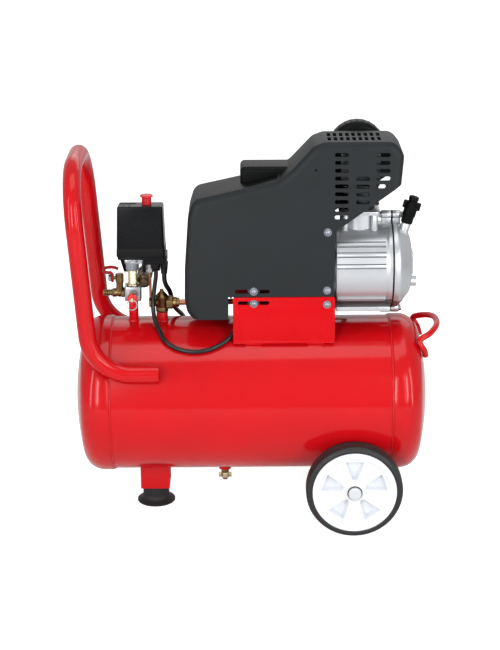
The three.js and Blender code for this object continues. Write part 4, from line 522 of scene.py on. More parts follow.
def copies_piece(name, master_shapes, places, material, edge=0, **named):
    """Copies of a small master on places, each a point, an outward direction and a direction to lie along."""
    master = make(name + "_master", master_shapes, [material])
    if edge:
        eased(master, edge)
    mesh = bpy.data.meshes.new(name)
    mesh.from_pydata([mm(p) for p, _, _ in places], [], [])
    for mark, column in (("facing", 1), ("along", 2)):
        attribute = mesh.attributes.new(mark, "FLOAT_VECTOR", "POINT")
        attribute.data.foreach_set("vector", [value for place in places for value in Vector(place[column])])
    thing = grown(linked(name, mesh), COPIES, Master=master, Finish=material)
    bpy.data.objects.remove(master)
    return ready(thing, **named)


def ring_places(count, radius, origin, axis):
    """Places round a circle, facing away from its middle and lying along it."""
    turn = facing(axis)
    places = []
    for c, s in circle_points(count):
        out = turn @ Vector((c, s, 0))
        places.append((Vector(origin) + out * radius, out, turn @ Vector((-s, c, 0))))
    return places


# ---- Finishes

def noise(group, vector, scale, detail, rough=0.5):
    made = add(group, "ShaderNodeTexNoise", {"Vector": vector, "Scale": scale, "Detail": detail, "Roughness": rough})
    return made.outputs["Fac"]


def spread_out(group, value, low, high, **ends):
    """A value between two bounds drawn out to the whole range from 0 to 1, or to the given ends."""
    inputs = {"Value": value, "From Min": low, "From Max": high}
    inputs.update({label.replace("_", " "): end for label, end in ends.items()})
    return add(group, "ShaderNodeMapRange", inputs).outputs["Result"]


def mixed(group, kind, factor, first, second):
    made = add(group, "ShaderNodeMix", {"Factor": factor, "A": first, "B": second}, data_type=kind)
    return made.outputs["Result"]


def tone_group():
    """A colour that drifts a little across the surface, with sparse darker specks."""
    group, given, result = node_group("ShaderNodeTree", "surface tone", [
        ("Vector", "Vector"), ("Colour", "Color"), ("Drift Colour", "Color"), ("Speck Colour", "Color"),
        ("Drift Scale", "Float"), ("Speck Scale", "Float"), ("Specks", "Float")], [("Colour", "Color")])
    drift = spread_out(group, noise(group, given["Vector"], given["Drift Scale"], 3), 0.35, 0.65)
    base = mixed(group, "RGBA", drift, given["Colour"], given["Drift Colour"])
    sparse = spread_out(group, noise(group, given["Vector"], given["Speck Scale"], 2), 0.62, 0.74)
    amount = add(group, "ShaderNodeMath", {0: sparse, 1: given["Specks"]}, operation="MULTIPLY").outputs[0]
    group.links.new(mixed(group, "RGBA", amount, base, given["Speck Colour"]), result["Colour"])
    return group


def grain_group():
    """Fine relief and the change in gloss that goes with it."""
    group, given, result = node_group("ShaderNodeTree", "surface grain", [
        ("Vector", "Vector"), ("Scale", "Float"), ("Wave Scale", "Float"), ("Wave", "Float"), ("Smooth Gloss", "Float"),
        ("Rough Gloss", "Float")], [("Height", "Float"), ("Roughness", "Float")])
    fine = noise(group, given["Vector"], given["Scale"], 4, 0.6)
    wave = noise(group, given["Vector"], given["Wave Scale"], 1)
    group.links.new(mixed(group, "FLOAT", given["Wave"], fine, wave), result["Height"])
    gloss = spread_out(group, fine, 0.3, 0.7, To_Min=given["Smooth Gloss"], To_Max=given["Rough Gloss"])
    group.links.new(gloss, result["Roughness"])
    return group


TONE, GRAIN = tone_group(), grain_group()


def finish(name, colour, gloss, metal=0.0, drift=0.9, specks=0.1, speck=0.5, drift_scale=14, speck_scale=260,
           grain=900, wave=90, wave_share=0.3, depth=0.02, stretch=(1, 1, 1), level=0.5):
    """A material of one colour with its own drift, specks, grain and gloss. Scales are per metre, depth in mm."""
    material = bpy.data.materials.new(name)
    material.use_nodes = True
    tree = material.node_tree
    place = add(tree, "ShaderNodeTexCoord", {}).outputs["Object"]
    vector = add(tree, "ShaderNodeMapping", {"Vector": place, "Scale": stretch}).outputs["Vector"]
    shades = [(*(value * share for value in colour), 1) for share in (1, drift, speck)]
    tone = add(tree, "ShaderNodeGroup", {}, node_tree=TONE)
    relief = add(tree, "ShaderNodeGroup", {}, node_tree=GRAIN)
    for group, values in (
        (tone, {"Colour": shades[0], "Drift Colour": shades[1], "Speck Colour": shades[2],
                "Drift Scale": drift_scale, "Speck Scale": speck_scale, "Specks": specks}),
        (relief, {"Scale": grain, "Wave Scale": wave, "Wave": wave_share,
                  "Smooth Gloss": gloss[0], "Rough Gloss": gloss[1]}),
    ):
        tree.links.new(vector, group.inputs["Vector"])
        for label, value in values.items():
            group.inputs[label].default_value = value
    bump = add(tree, "ShaderNodeBump", {"Height": relief.outputs["Height"], "Distance": depth * MM, "Strength": 1.0})
    surface = tree.nodes["Principled BSDF"]
    tree.links.new(tone.outputs["Colour"], surface.inputs["Base Color"])
    tree.links.new(relief.outputs["Roughness"], surface.inputs["Roughness"])
    tree.links.new(bump.outputs["Normal"], surface.inputs["Normal"])
    surface.inputs["Metallic"].default_value = metal
    surface.inputs["Specular IOR Level"].default_value = level
    return material


RED_PAINT = finish("red enamel", (0.48, 0.003, 0.006), (0.10, 0.17), specks=0.12, drift_scale=7,
                   grain=420, wave=110, wave_share=0.6, depth=0.03, level=0.22)
PLATE_RED = finish("red enamel on flat sheet", (0.50, 0.003, 0.006), (0.2, 0.3), drift=0.93,
                   specks=0.12, drift_scale=7, grain=420, wave=110, wave_share=0.6, depth=0.03, level=0.08)
COWL_BLACK = finish("grained black plastic", (0.0110, 0.0132, 0.0148), (0.42, 0.58), drift=0.86,
                    specks=0.3, speck=0.6, drift_scale=9, speck_scale=900, grain=1700, wave=300, depth=0.05,
                    level=0.16)
DEEP_BLACK = finish("smooth dark plastic", (0.0025, 0.0028, 0.0028), (0.34, 0.46), drift=0.85,
                    specks=0.2, speck=0.6, grain=1500, wave=300, depth=0.03, level=0.07)
GLOSS_BLACK = finish("smooth black plastic", (0.0060, 0.0066, 0.0078), (0.2, 0.32), drift=0.8,
                     grain=700, depth=0.012, level=0.1)
BAND_BLACK = finish("matt black band", (0.004, 0.0042, 0.005), (0.42, 0.55), grain=1400, level=0.15)
RUBBER = finish("black rubber", (0.010, 0.010, 0.0105), (0.5, 0.68), drift=0.8, specks=0.2, speck=1.8,
                grain=1300, depth=0.03, level=0.3)
LEAD_BLACK = finish("lead sheath", (0.004, 0.004, 0.0045), (0.25, 0.38), grain=500, depth=0.012,
                    level=0.35)
TYRE_BLACK = finish("tyre rubber", (0.006, 0.006, 0.0062), (0.42, 0.56), drift=0.8, specks=0.25, speck=2.0,
                    drift_scale=22, grain=1500, depth=0.04, level=0.4)
RIM_WHITE = finish("white moulded plastic", (0.68, 0.70, 0.74), (0.3, 0.4), drift=0.97, specks=0.05,
                   speck=0.85, grain=500, depth=0.012, level=0.3)
HUB_GREY = finish("grey moulded cap", (0.52, 0.54, 0.56), (0.35, 0.45), drift=0.95, grain=600, depth=0.012,
                  level=0.3)
CAST = finish("sprayed castings", (0.455, 0.47, 0.49), (0.28, 0.4), metal=0.75, drift=0.93,
              specks=0.25, speck=0.8, drift_scale=18, speck_scale=700, grain=1200, wave=160, depth=0.04, level=0.4)
# A darker, redder copy of the casting for the lower faces of the case and cover: painted shade and a painted reflection
# of the red tank.
CAST_PAINTED_LOW_SHADE = finish("shaded castings", (0.17, 0.115, 0.115), (0.34, 0.46), metal=0.6, specks=0.2,
                  speck=0.8, drift_scale=18, grain=1200, depth=0.03, level=0.3)
# Near-black strips along the ribs' edges: painted shadow lines.
CAST_PAINTED_RIB_SHADOW = finish("cast grooves", (0.10, 0.105, 0.115), (0.4, 0.55), metal=0.5, grain=1200,
                     level=0.2)
# Near-black copy of the casting for what lies inside the cowl and motor: painted shade.
CAST_PAINTED_INNER_SHADE = finish("unlit castings", (0.045, 0.047, 0.05), (0.3, 0.45), metal=0.8, drift=0.8,
                    specks=0.2, speck=0.6, drift_scale=40, grain=1000, depth=0.03, level=0.2)
STEEL = finish("machined steel", (0.5, 0.51, 0.52), (0.22, 0.36), metal=1.0, stretch=(1, 1, 6), depth=0.01)
ZINC = finish("bright zinc plate", (0.36, 0.37, 0.39), (0.16, 0.3), metal=0.95, drift=0.75, specks=0.15,
              speck=0.7, drift_scale=60, grain=800, depth=0.012)
SCREW_ZINC = finish("dull screw plate", (0.27, 0.285, 0.32), (0.25, 0.4), metal=0.95, drift=0.85, specks=0.2,
                    speck=0.6, drift_scale=80, depth=0.015)
BRASS = finish("dull brass", (0.23, 0.15, 0.065), (0.22, 0.38), metal=1.0, drift=0.5, specks=0.4,
               speck=0.35, drift_scale=90, speck_scale=500, grain=1100)
PALE_BRASS = finish("pale plated brass", (0.56, 0.50, 0.32), (0.2, 0.34), metal=1.0, drift=0.88,
                    drift_scale=90, depth=0.012)
# A darker copy of the brass for the regulator on the far side: painted shade.
BRASS_IN_PAINTED_SHADE = finish("dark brass", (0.13, 0.085, 0.045), (0.34, 0.52), metal=0.9, drift=0.6, specks=0.4,
                   speck=0.4, drift_scale=90, speck_scale=500, grain=1100)
COPPER = finish("drawn copper", (0.42, 0.18, 0.11), (0.2, 0.34), metal=1.0, drift=0.78, specks=0.2,
                drift_scale=45, depth=0.01)
RED_PLASTIC = finish("red moulded plastic", (0.6, 0.02, 0.025), (0.28, 0.38), grain=600, depth=0.015,
                     level=0.3)
RED_DIP = finish("red dipped coating", (0.25, 0.003, 0.006), (0.18, 0.28), drift=0.75, drift_scale=120,
                 grain=500, level=0.3)
DIAL_WHITE = finish("dial plate", (0.8, 0.8, 0.78), (0.4, 0.5), grain=700, depth=0.005)
SHADE_BLACK = finish("dark spring steel", (0.03, 0.03, 0.032), (0.35, 0.5), metal=0.6, depth=0.01)


# ---- Camera

def set_camera():
    pitch, distance, roll = math.radians(18.75), 2680, math.radians(-0.4)
    target = Vector((-13, 0, 299.2))
    back = Vector((0, -math.cos(pitch), math.sin(pitch)))
    right = Vector((1, 0, 0))
    up = back.cross(right)
    across = right * math.cos(roll) + up * math.sin(roll)
    upright = up * math.cos(roll) - right * math.sin(roll)
    camera = bpy.data.cameras.new("camera")
    camera.lens = 94.1
    camera.sensor_width = 36
    camera.clip_end = 50
    thing = linked("camera", camera)
    turn = Matrix((across, upright, back)).transposed().to_4x4()
    thing.matrix_world = Matrix.Translation(mm(target + back * distance)) @ turn
    bpy.context.scene.camera = thing


set_camera()

# ---- Cords

CORD_RADIUS, LEAD_RADIUS = 3.75, 3.4
COIL = {"x": -60, "y": 208, "inner": 32, "pitch": 8.1, "layer": 8.1, "turns": 2.3, "tuck": 2, "tail": 50}
COIL_LOW = 1.1 + CORD_RADIUS
PLUG_Z = 19.3
CORD_POINTS = [
    (-146.5, 2, 384.1), (-146.5, 2.1, 375.5), (-144.4, 4.8, 365), (-140, 9.8, 355.5), (-137.4, 15.8, 345.5),
    (-136.6, 23.5, 334.5), (-134.8, 34, 323), (-129.8, 48.5, 310), (-123, 66, 296.6), (-119, 86, 280.5),
    (-118, 104, 260), (-118, 118, 233), (-118, 125, 203), (-118, 126.5, 170), (-119, 129, 120),
    (-121, 134.5, 75), (-120.5, 142, 43), (-115, 149.5, 22), (-104, 154.9, 9.8), (-89, 157.1, 5.3),
    (-75, 157.37, 4.85),
]
LEAD_POINTS = [
    (-158.5, -11, 393.7), (-158.8, -11.2, 384), (-162, -12.2, 362), (-164.3, -16, 336), (-161, -26, 317.5),
    (-153, -45, 305.3), (-144.3, -64, 295.8), (-128.6, -75, 288.4), (-105.4, -80.4, 283.8),
    (-82.4, -79.5, 284.8), (-62.5, -73, 290.2), (-47, -63, 297.6), (-37.5, -54, 307), (-33, -45, 322),
    (-32, -38, 338), (-29.5, -34.5, 351), (-24.5, -34, 357.2), (-16.3, -34, 358),
]


def straight_ended(points, radius, count):
    """The cord's own route: straight over the first and last diameter, smooth between."""
    points = [Vector(p) for p in points]
    first = points[0] + (points[1] - points[0]).normalized() * 2 * radius
    last = points[-1] + (points[-2] - points[-1]).normalized() * 2 * radius
    return [points[0]] + smooth([first] + points[1:-1] + [last], count) + [points[-1]]


def coil_route(steps=40):
    total = 2 * COIL["turns"] + 0.5
    count = round(total * steps)
    route = []
    for step in range(count + 1):
        turns = step / count * total
        climb = min(max((turns - COIL["turns"]) * 2, 0), 1)
        out = COIL["turns"] - turns if turns < COIL["turns"] else max(turns - COIL["turns"] - 0.5, 0)
        radius = COIL["inner"] + COIL["pitch"] * out - COIL["tuck"] * math.sin(math.pi * climb)
        angle = -math.pi / 2 + turns * 2 * math.pi
        height = COIL_LOW + COIL["layer"] * climb
        route.append(Vector((COIL["x"] + radius * math.cos(angle), COIL["y"] + radius * math.sin(angle), height)))
    return route


def coil_end():
    angle = -math.pi / 2 + (2 * COIL["turns"] + 0.5) * 2 * math.pi
    return coil_route()[-1], Vector((-math.sin(angle), math.cos(angle), 0))


def mains_route():
    outer = COIL["inner"] + COIL["pitch"] * COIL["turns"]
    start = Vector((COIL["x"] - 2 * CORD_RADIUS, COIL["y"] - outer, COIL_LOW))
    run = straight_ended(CORD_POINTS + [start - Vector((0.3, 0, 0))], CORD_RADIUS, 150)
    end, along = coil_end()
    tail = []
    for step in range(1, 21):
        share = step / 20
        rise = min(max((share - 0.2) / 0.6, 0), 1)
        rise = rise * rise * (3 - 2 * rise)
        place = end + along * share * COIL["tail"]
        tail.append(Vector((place.x, place.y, end.z + (PLUG_Z - end.z) * rise)))
    return run[:-1] + [start] + coil_route() + tail


def cords():
    route = mains_route()
    mains = tube_piece("mains_cord", route, CORD_RADIUS, LEAD_BLACK, "cord_run", "cord_coil", sides=20)
    end, along = coil_end()
    seat = Vector((end.x, end.y, PLUG_Z)) + along * (COIL["tail"] + 0.3)
    body = turned(
        [(0, 0), (5.4, 0), (6.2, 0.8), (6.5, 4), (6.7, 12), (9.5, 16), (15, 20.5), (18.2, 24), (19, 27), (19, 36.2),
         (18, 38), (0, 38)], seat, along, 64)
    side = along.cross(Vector((0, 0, 1)))
    pins = []
    for way in (-1, 1):
        foot = seat + along * 37.7 + side * way * 9.5
        pins += bar(foot, foot + along * 19, 2.4, 32, 0.8)
    plug = piece("plug_with_pins", body + of_material(pins, 1), [RUBBER, PALE_BRASS], "mains_plug")
    grips = ring_places(14, 18.9, seat + along * 31, along)
    ridge = box((-1.1, -4.2, -0.6), (1.1, 4.2, 0.8))
    grip = copies_piece("plug_grips", ridge, grips, RUBBER, edge=0.3)
    tie = carried("cord_tie", COWL_BLACK, 0.25)
    lead = straight_ended(LEAD_POINTS, LEAD_RADIUS, 120)
    tube_piece("motor_lead_sheath", lead, LEAD_RADIUS, LEAD_BLACK, "motor_lead", sides=24)


cords()

# ---- Tank and what is welded to it

HANDLE_TUBE = 13.5
HANDLE_RISE = 72
HANDLE_Y = math.sqrt(134.1**2 - HANDLE_RISE**2)
HANDLE_Z = TANK["axis"] + HANDLE_RISE
HEAD_REACH = TANK["radius"] + 2.5
BEAD = turned([(0, 0.9), (1.1, 0.8), (1.9, 0.35), (2.2, -0.5), (0, -0.6)], sides=10)
BEAD_PITCH = 2.4


def head_curves():
    """The knuckle's radius and reach, the angle where it ends, and the crown's radius and centre."""
    knuckle, end = TANK["knuckle"], math.radians(TANK["end"])
    knuckle_at = HEAD_REACH - knuckle
    crown = (knuckle_at + knuckle * math.sin(end)) / math.sin(end)
    return knuckle, knuckle_at, end, crown, TANK["skirt"] + (knuckle - crown) * math.cos(end)


def head_profile():
    knuckle, knuckle_at, end, crown, crown_at = head_curves()

    def curve(depth, count):
        points = []
        for step in range(count + 1):
            angle = math.pi / 2 + (end - math.pi / 2) * step / count
            radius = knuckle - depth
            points.append((knuckle_at + radius * math.sin(angle), TANK["skirt"] + radius * math.cos(angle)))
        for step in range(1, count + 1):
            angle = end * (1 - step / count)
            points.append(((crown - depth) * math.sin(angle), crown_at + (crown - depth) * math.cos(angle)))
        return points

    edge = [(121.35, 0), (122.4, 0), (123.1, 0.25), (123.5, 0.9)]
    return list(reversed(curve(2.2, 12))) + edge + curve(0, 20)


def tank():
    half = TANK["seam"] + 12
    origin = (TANK["centre"], 0, TANK["axis"])
    shell = pipe_wall(TANK["radius"], TANK["radius"] - 2.2, -half, half, origin, (1, 0, 0), FINE_SIDES)
    shell += bar((RISER_X, 0, TANK_TOP - 1.1), (RISER_X, 0, TANK_TOP + 34.7), 7.5)
    shell += bar((VALVE_X, 0, TANK_TOP - 1.1), (VALVE_X, 0, TANK_TOP + 14), 9)
    shell += bar((DRAIN_X, 0, 68.1), (DRAIN_X, 0, 55), 10)
    piece("tank_barrel", shell, RED_PAINT, "tank_shell")
    for side, node in ((-1, "tank_head_front"), (1, "tank_head_rear")):
        at = (TANK["centre"] + side * TANK["seam"], 0, TANK["axis"])
        head = turned(head_profile(), at, (side, 0, 0), FINE_SIDES)
        piece(node + "_pressed", head, RED_PAINT, node, angle=50)


def handle_route():
    corners = [(-152, -HANDLE_Y, HANDLE_Z), (-254.6, -HANDLE_Y, HANDLE_Z), (-277.5, -HANDLE_Y, 568.4)]
    corners += [(x, -y, z) for x, y, z in reversed(corners)]
    return bent(corners, [66, 82, 82, 66], 24)


def lift_route():
    """The rear handle: its feet lie on the head and its middle stands off it."""
    knuckle, knuckle_at, end, crown, crown_at = head_curves()
    azimuth = math.radians(33)

    def off_head(lean, clear):
        on_crown = lean < end
        radius = (crown if on_crown else knuckle) + clear
        middle = crown_at if on_crown else TANK["skirt"]
        out = (0 if on_crown else knuckle_at) + radius * math.sin(lean)
        x = TANK["centre"] + TANK["seam"] + middle + radius * math.cos(lean)
        return (x, out * math.sin(azimuth), TANK["axis"] + out * math.cos(azimuth))

    heel = math.radians(31)
    half = [off_head(math.radians(12.6), 5.1), off_head(end, 5.4), off_head((end + heel) / 2, 5.4), off_head(heel, 5.1)]
    half += [(249.5, 57.8, 290.8), (266, 46, 299), (277.6, 24, 304)]
    return smooth(half + [(280.6, 0, 305)] + [(x, -y, z) for x, y, z in reversed(half)], 90)


def handles():
    piece("push_handle_tube", swept(handle_route(), HANDLE_TUBE, 64, 2, 16), RED_PAINT, "push_handle")
    piece("lift_handle_rod", swept(lift_route(), 4.8, 32), RED_PAINT, "lift_handle", angle=50)


def meeting(centre, reach, tank_reach):
    """Where a circle round a point and one round the tank's axis cross, above and below, in the YZ plane."""
    y, z = centre[0], centre[1] - TANK["axis"]
    distance = math.hypot(y, z)
    along = (tank_reach**2 - reach**2 + distance**2) / (2 * distance)
    off = math.sqrt(tank_reach**2 - along**2)
    unit = (y / distance, z / distance)
    return [
        (unit[0] * along - way * unit[1] * off, TANK["axis"] + unit[1] * along + way * unit[0] * off)
        for way in (1, -1)
    ]


def welds():
    """Weld beads: round the heads' seams and the bosses, along the handle's legs and under the brackets."""
    places = []
    for side in (-1, 1):
        at = (TANK["centre"] + side * (TANK["seam"] - 1.2), 0, TANK["axis"])
        places += ring_places(210, TANK["radius"] + 0.5, at, (side, 0, 0))
    for x, radius in ((RISER_X, 8.2), (VALVE_X, 9.7)):
        places += ring_places(18, radius, (x, 0, TANK_TOP + 0.1), (0, 0, 1))
    places += ring_places(20, 10.6, (DRAIN_X, 0, 66.8), (0, 0, -1))

    def row(x, y, z, along, count):
        for step in range(count):
            spot = Vector((x, y, z)) + Vector(along) * BEAD_PITCH * step
            if along[1]:
                spot.z = TANK["axis"] - math.sqrt(TANK["radius"] ** 2 - spot.y**2)
            places.append((spot, Vector((0, spot.y, spot.z - TANK["axis"])).normalized(), along))

    for side in (-1, 1):
        for y, z in meeting((side * HANDLE_Y, HANDLE_Z), HANDLE_TUBE + 0.5, TANK["radius"] + 0.3):
            for start in (-236, -204, -174):
                row(start, y, z, (1, 0, 0), 9)
    for side in (-1, 1):
        for start in (-18.5, 77.5):
            row(start, side * 68.2, TANK["axis"] + math.sqrt(TANK["radius"] ** 2 - 68.5**2), (1, 0, 0), 9)
    for x in (-191.6, -143.4):
        row(x, -17, 0, (0, 1, 0), 15)
    copies_piece("weld_beads", moved(BEAD, Matrix.Diagonal((1.5, 1.0, 1.0, 1.0))), places, RED_PAINT, angle=60)


tank()
handles()
welds()

# ---- Foot, axle and wheels

FOOT_X = -167.5
WHEEL_X, WHEEL_Y, WHEEL_Z = 146.5, 131, 75


def foot():
    profile = [(0, 0), (29.7, 0), (30.5, 0.7), (30.5, 2.9), (29.6, 3.7), (26, 5.2), (22.6, 7.8), (21.2, 10.5),
               (21, 14), (21, 28.6), (20.5, 29.2), (0, 29.2)]
    rings = []
    for z in (15.5, 19.5, 23.5):
        rings += turned([(20.6, z - 0.7), (21.35, z), (20.6, z + 0.7), (19.8, z), (20.6, z - 0.7)], (FOOT_X, 0, 0))
    piece("foot_rubber", turned(profile, (FOOT_X, 0, 0)) + rings, RUBBER, "rubber_foot")
    carried("foot_bracket", RED_PAINT, 0.9, segments=3)
    carried("axle_bracket", RED_PAINT, 0.9, segments=3)
    places = [((FOOT_X + dx, dy, 32.5), (0, 0, 1), (1, 0, 0)) for dx in (-12, 12) for dy in (-12, 12)]
    copies_piece("foot_screws", bar((0, 0, 0), (0, 0, 2.2), 3.4, 24, 0.6), places, ZINC)


def pocket_depth(radius, angle):
    """How deep the wheel's face lies at a place: five wedge recesses with round corners between its spokes."""
    start, end, half_start, half_end, corner, depth, flank = 18, 49, 3.6, 15, 3, 12, 3.6
    turn = 2 * math.pi / 5
    off = (angle + turn / 2) % turn - turn / 2
    u, v = radius * math.cos(off), abs(radius * math.sin(off))
    slope = (half_end - half_start) / (end - start)
    a = max(start - u, u - end) + corner
    b = (v - half_start - (u - start) * slope) / math.sqrt(1 + slope * slope) + corner
    distance = math.hypot(max(a, 0), max(b, 0)) + min(max(a, b), 0) - corner
    share = min(max((0.6 - distance) / flank, 0), 1)
    return depth * share * share * (3 - 2 * share)


def rim_shapes(sides=300):
    """The wheel's disc about Z, its outer face up: rings of (radius, height), the face's own rings dished."""
    back = [(5.3, -19.7), (13.6, -19.7), (14, -19.2), (14, -4), (59.9, -4), (59.9, -15.6), (60.3, -16), (64.5, -16),
            (64.9, -15.6)]
    lip = [(64.9, 15.2), (64.6, 15.8), (63.9, 16), (57.4, 16), (56.6, 15.8), (55.9, 15.2), (54.6, 13.4), (53.6, 12.5)]
    face = [(52.4 - 0.76 * step, 12) for step in range(46)]
    hub = [(17.4, 12.1), (16.4, 12.6), (15.2, 14.2), (14.6, 15.3), (13.8, 15.9), (13, 16), (5.3, 16)]
    rings = []
    for at, (radius, height) in enumerate(back + lip + face + hub):
        on_face = len(back + lip) <= at < len(back + lip + face)
        ring = []
        for side in range(sides):
            angle = 2 * math.pi * side / sides
            z = height - (pocket_depth(radius, angle) if on_face else 0)
            ring.append((radius * math.cos(angle), radius * math.sin(angle), z))
        rings.append(ring)
    return grid(rings, True)


TYRE_PROFILE = [
    (65.2, 14.6), (66.2, 15.3), (67.2, 16), (68.6, 16), (69.2, 15.5), (70, 15.5), (71.2, 15), (72.9, 13.8), (74.2, 12),
    (74.9, 9.6), (75, 7), (75, 4.4), (74.5, 4), (74.5, 3.2), (75, 2.8), (75, 0),
]


def wheels():
    tyre_profile = TYRE_PROFILE + [(r, -h) for r, h in reversed(TYRE_PROFILE[:-1])] + [TYRE_PROFILE[0]]
    for name, side in (("near", -1), ("far", 1)):
        body, outwards = "wheel_" + name, (0, side, 0)
        at = lambda y: (WHEEL_X, side * y, WHEEL_Z)
        # The first recess points up: the disc's own +X goes to +Z.
        turn = Matrix(((0, 1, 0), (0, 0, side), (1, 0, 0))).to_4x4()
        disc = moved(rim_shapes(), Matrix.Translation(at(WHEEL_Y)) @ turn)
        piece(body + "_rim", disc, RIM_WHITE, "rim_" + name, body=body, angle=40)
        tyre = turned(tyre_profile, at(WHEEL_Y), outwards, 180)
        piece(body + "_tyre", tyre, TYRE_BLACK, "tyre_" + name, body=body, angle=40)
        start = WHEEL_Y + 16.3
        cap = turned([(0, 0), (9.4, 0), (10, 0.6), (10, 4.2), (9.3, 5.2), (8.2, 5.7), (3, 5.7), (2.6, 5.3), (0, 5.3)],
                     at(start), outwards, 64)
        clip = turned([(10.1, 0.3), (11.4, 0.3), (11.6, 1), (11.4, 1.7), (10.1, 1.7), (10.1, 0.3)], at(start),
                      outwards, 64)
        bolt = bar(at(98), at(start + 1), 5) + bar(at(97.7), at(103.7), 7.8, 6, 0.8) + bar(at(108.3), at(111), 9)
        shapes = cap + of_material(clip, 1) + of_material(bolt, 2)
        piece("axle_" + name, shapes, [HUB_GREY, SHADE_BLACK, ZINC], "axle_bolt_" + name)


foot()
wheels()

# ---- Plates and cowl

COWL = {"x": -113, "z": 332, "length": 334, "height": 269, "depth": 70.7, "draught": 0.092, "wall": 2.5, "edge": 12}
COWL_SHARES = [
    (0.035, 0), (0.01, 0.035), (0, 0.115), (0.003, 0.29), (0.02, 0.575), (0.045, 0.68), (0.428, 0.786),
    (0.492, 0.845), (0.592, 0.978), (0.64, 1), (0.955, 1), (1, 0.93), (0.988, 0.762), (0.689, 0.5), (0.683, 0.13),
    (0.201, 0.13), (0.201, 0),
]
COWL_WALLS = 12
COWL_FILLET = 18
COWL_OUTLINE = [(COWL["x"] + x * COWL["length"], COWL["z"] + z * COWL["height"]) for x, z in COWL_SHARES]
COWL_SLOTS = [(126.6, 583, 9), (158.5, 547, 4), (189, 582.5, 4)]


def cowl_half(z):
    return COWL["depth"] - COWL["draught"] * (z - COWL["z"])


def cowl_body(wall, open_reach, depth_less, steps):
    """The cowl's rounded body: its walls inset, its open edges carried on past the cut."""
    amounts = [wall if edge < COWL_WALLS else -open_reach for edge in range(len(COWL_OUTLINE))]
    outline = rounded(inwards(COWL_OUTLINE, amounts), COWL_FILLET, steps)
    depth, edge = COWL["depth"], COWL["edge"]
    layers = []
    for step in range(steps + 1):
        angle = math.pi / 2 * step / steps
        layers.append((edge * (1 - math.sin(angle)), depth - edge * (1 - math.cos(angle))))
    rings = []
    for inset, y in [(i, -y) for i, y in layers] + [(i, y) for i, y in reversed(layers)]:
        ring = []
        for x, z in shrunk(outline, inset):
            ring.append((x, y * (cowl_half(z) - depth_less) / depth, z))
        rings.append(ring)
    return grid(rings, False)


def cowl():
    reach = COWL["depth"] + 4
    thing = make("cowl_shell", cowl_body(0, 18, 0, 8), [COWL_BLACK])
    carved(thing, make("side", prism(COWL_OUTLINE, "y", -reach, reach), []), "INTERSECT")
    hump = make("hump", box((-26.6, -10, 505), (62, 48, 556)), [])
    eased(hump, 7, 5)
    carved(thing, hump, "UNION")
    carved(thing, make("inside", cowl_body(COWL["wall"], 30, COWL["wall"], 3), []))
    hollow = make("hump_inside", box((-24.1, -7.5, 502.5), (59.5, 45.5, 553.5)), [])
    carved(thing, eased(hollow, 4.5, 3))
    cutters = []
    for x, top, count in COWL_SLOTS:
        for index in range(count):
            outline = slot_outline(x - 10.5, x + 10.5, top - index * 11.8, 3.1)
            cutters += prism(outline, "y", -reach, 0)
    cutters += prism(slot_outline(178.5, 192.5, 535.3, 3.1), "y", -reach, 0)
    cutters += prism(slot_outline(-35.6, 17.9, 375.5, 3), "y", -reach, 0)
    for column in range(9):
        for row in range(2):
            x, y = 106 + 9.4 * column, -27.5 + 30 * row
            outline = rounded(rectangle(x, y, x + 5.5, y + 23), 2.6, 5)
            cutters += prism(outline, "z", 592, 605)
    cutters += box((-117, -12, 328), (-89, 12, 350))
    cutters += bar((CYLINDER_X, 0, 567.6), (CYLINDER_X, reach, 567.6), 12.6)
    cutters += bar((105, -reach, 375.5), (105, reach, 375.5), 3, 24)
    cutters += bar((87.6, -reach, 560), (87.6, 0, 560), 1.6, 24)
    carved(thing, make("openings", cutters, []))
    thing.data.materials.clear()
    for material in (COWL_BLACK, DEEP_BLACK):
        thing.data.materials.append(material)
    # The hump over the capacitor is of the smoother plastic.
    for face in thing.data.polygons:
        x, y, z = face.center / MM
        face.material_index = int(-27 < x < 62.5 and -10.5 < y < 48.5 and 505 < z < 556.5)
    ready(thing, "cowl", angle=30)


def plates():
    for name, side in (("near", -1), ("far", 1)):
        low = TANK["axis"] + math.sqrt(121.3**2 - 67**2)
        corners, radii = [(-39, 296)], [2]
        for left, right in ((-20.5, 4.2), (75.2, 101.4)):
            corners += [(left, 296), (left, low - 0.2), (right, low - 0.2), (right, 296)]
            radii += [1.5, 0, 0, 1.5]
        corners += [(117.5, 296), (117.5, 366), (-39, 366)]
        outline = rounded(corners, radii + [2, 4, 4])
        low_y, high_y = sorted((side * 64.5, side * 67))
        thing = make("plate_" + name, prism(outline, "y", low_y, high_y), [PLATE_RED])
        cutters = prism(slot_outline(-31.7, 16.8, 357, 3), "y", low_y - 2, high_y + 2)
        cutters += bar((105, low_y - 2, 354), (105, high_y + 2, 354), 3, 24)
        carved(thing, make("plate_cuts", cutters, []))
        eased(thing, 0.5)
        ready(thing, "bracket_plate_" + name)
        lip = [(64.6, 297.5), (66.9, 297.5), (67, 296.4), (69.9, 294), (70.1, 292.6), (68.7, 292.2), (64.7, 295.3)]
        lip = prism([(side * y, z) for y, z in lip], "x", -38.6, 117.1)
        piece("plate_lip_" + name, lip, PLATE_RED, edge=0.4)


def screw_shapes():
    """A pan-head screw with a cross recess, on a washer, standing on +Z."""
    profile = [(0, 0), (4.4, 0), (4.5, 0.8), (4.1, 1.9), (3, 2.8), (1.4, 3.2), (0, 3.25)]
    head = make("head", turned(profile, sides=32), [])
    for low, high in (((-2.4, -0.45, 2), (2.4, 0.45, 5)), ((-0.45, -2.4, 2), (0.45, 2.4, 5))):
        carved(head, make("cross", box(low, high), []))
    washer = turned([(0, -0.9), (5.9, -0.9), (6.1, -0.6), (6.1, -0.2), (5.9, 0), (0, 0)], sides=40)
    return washer + as_shape(head)


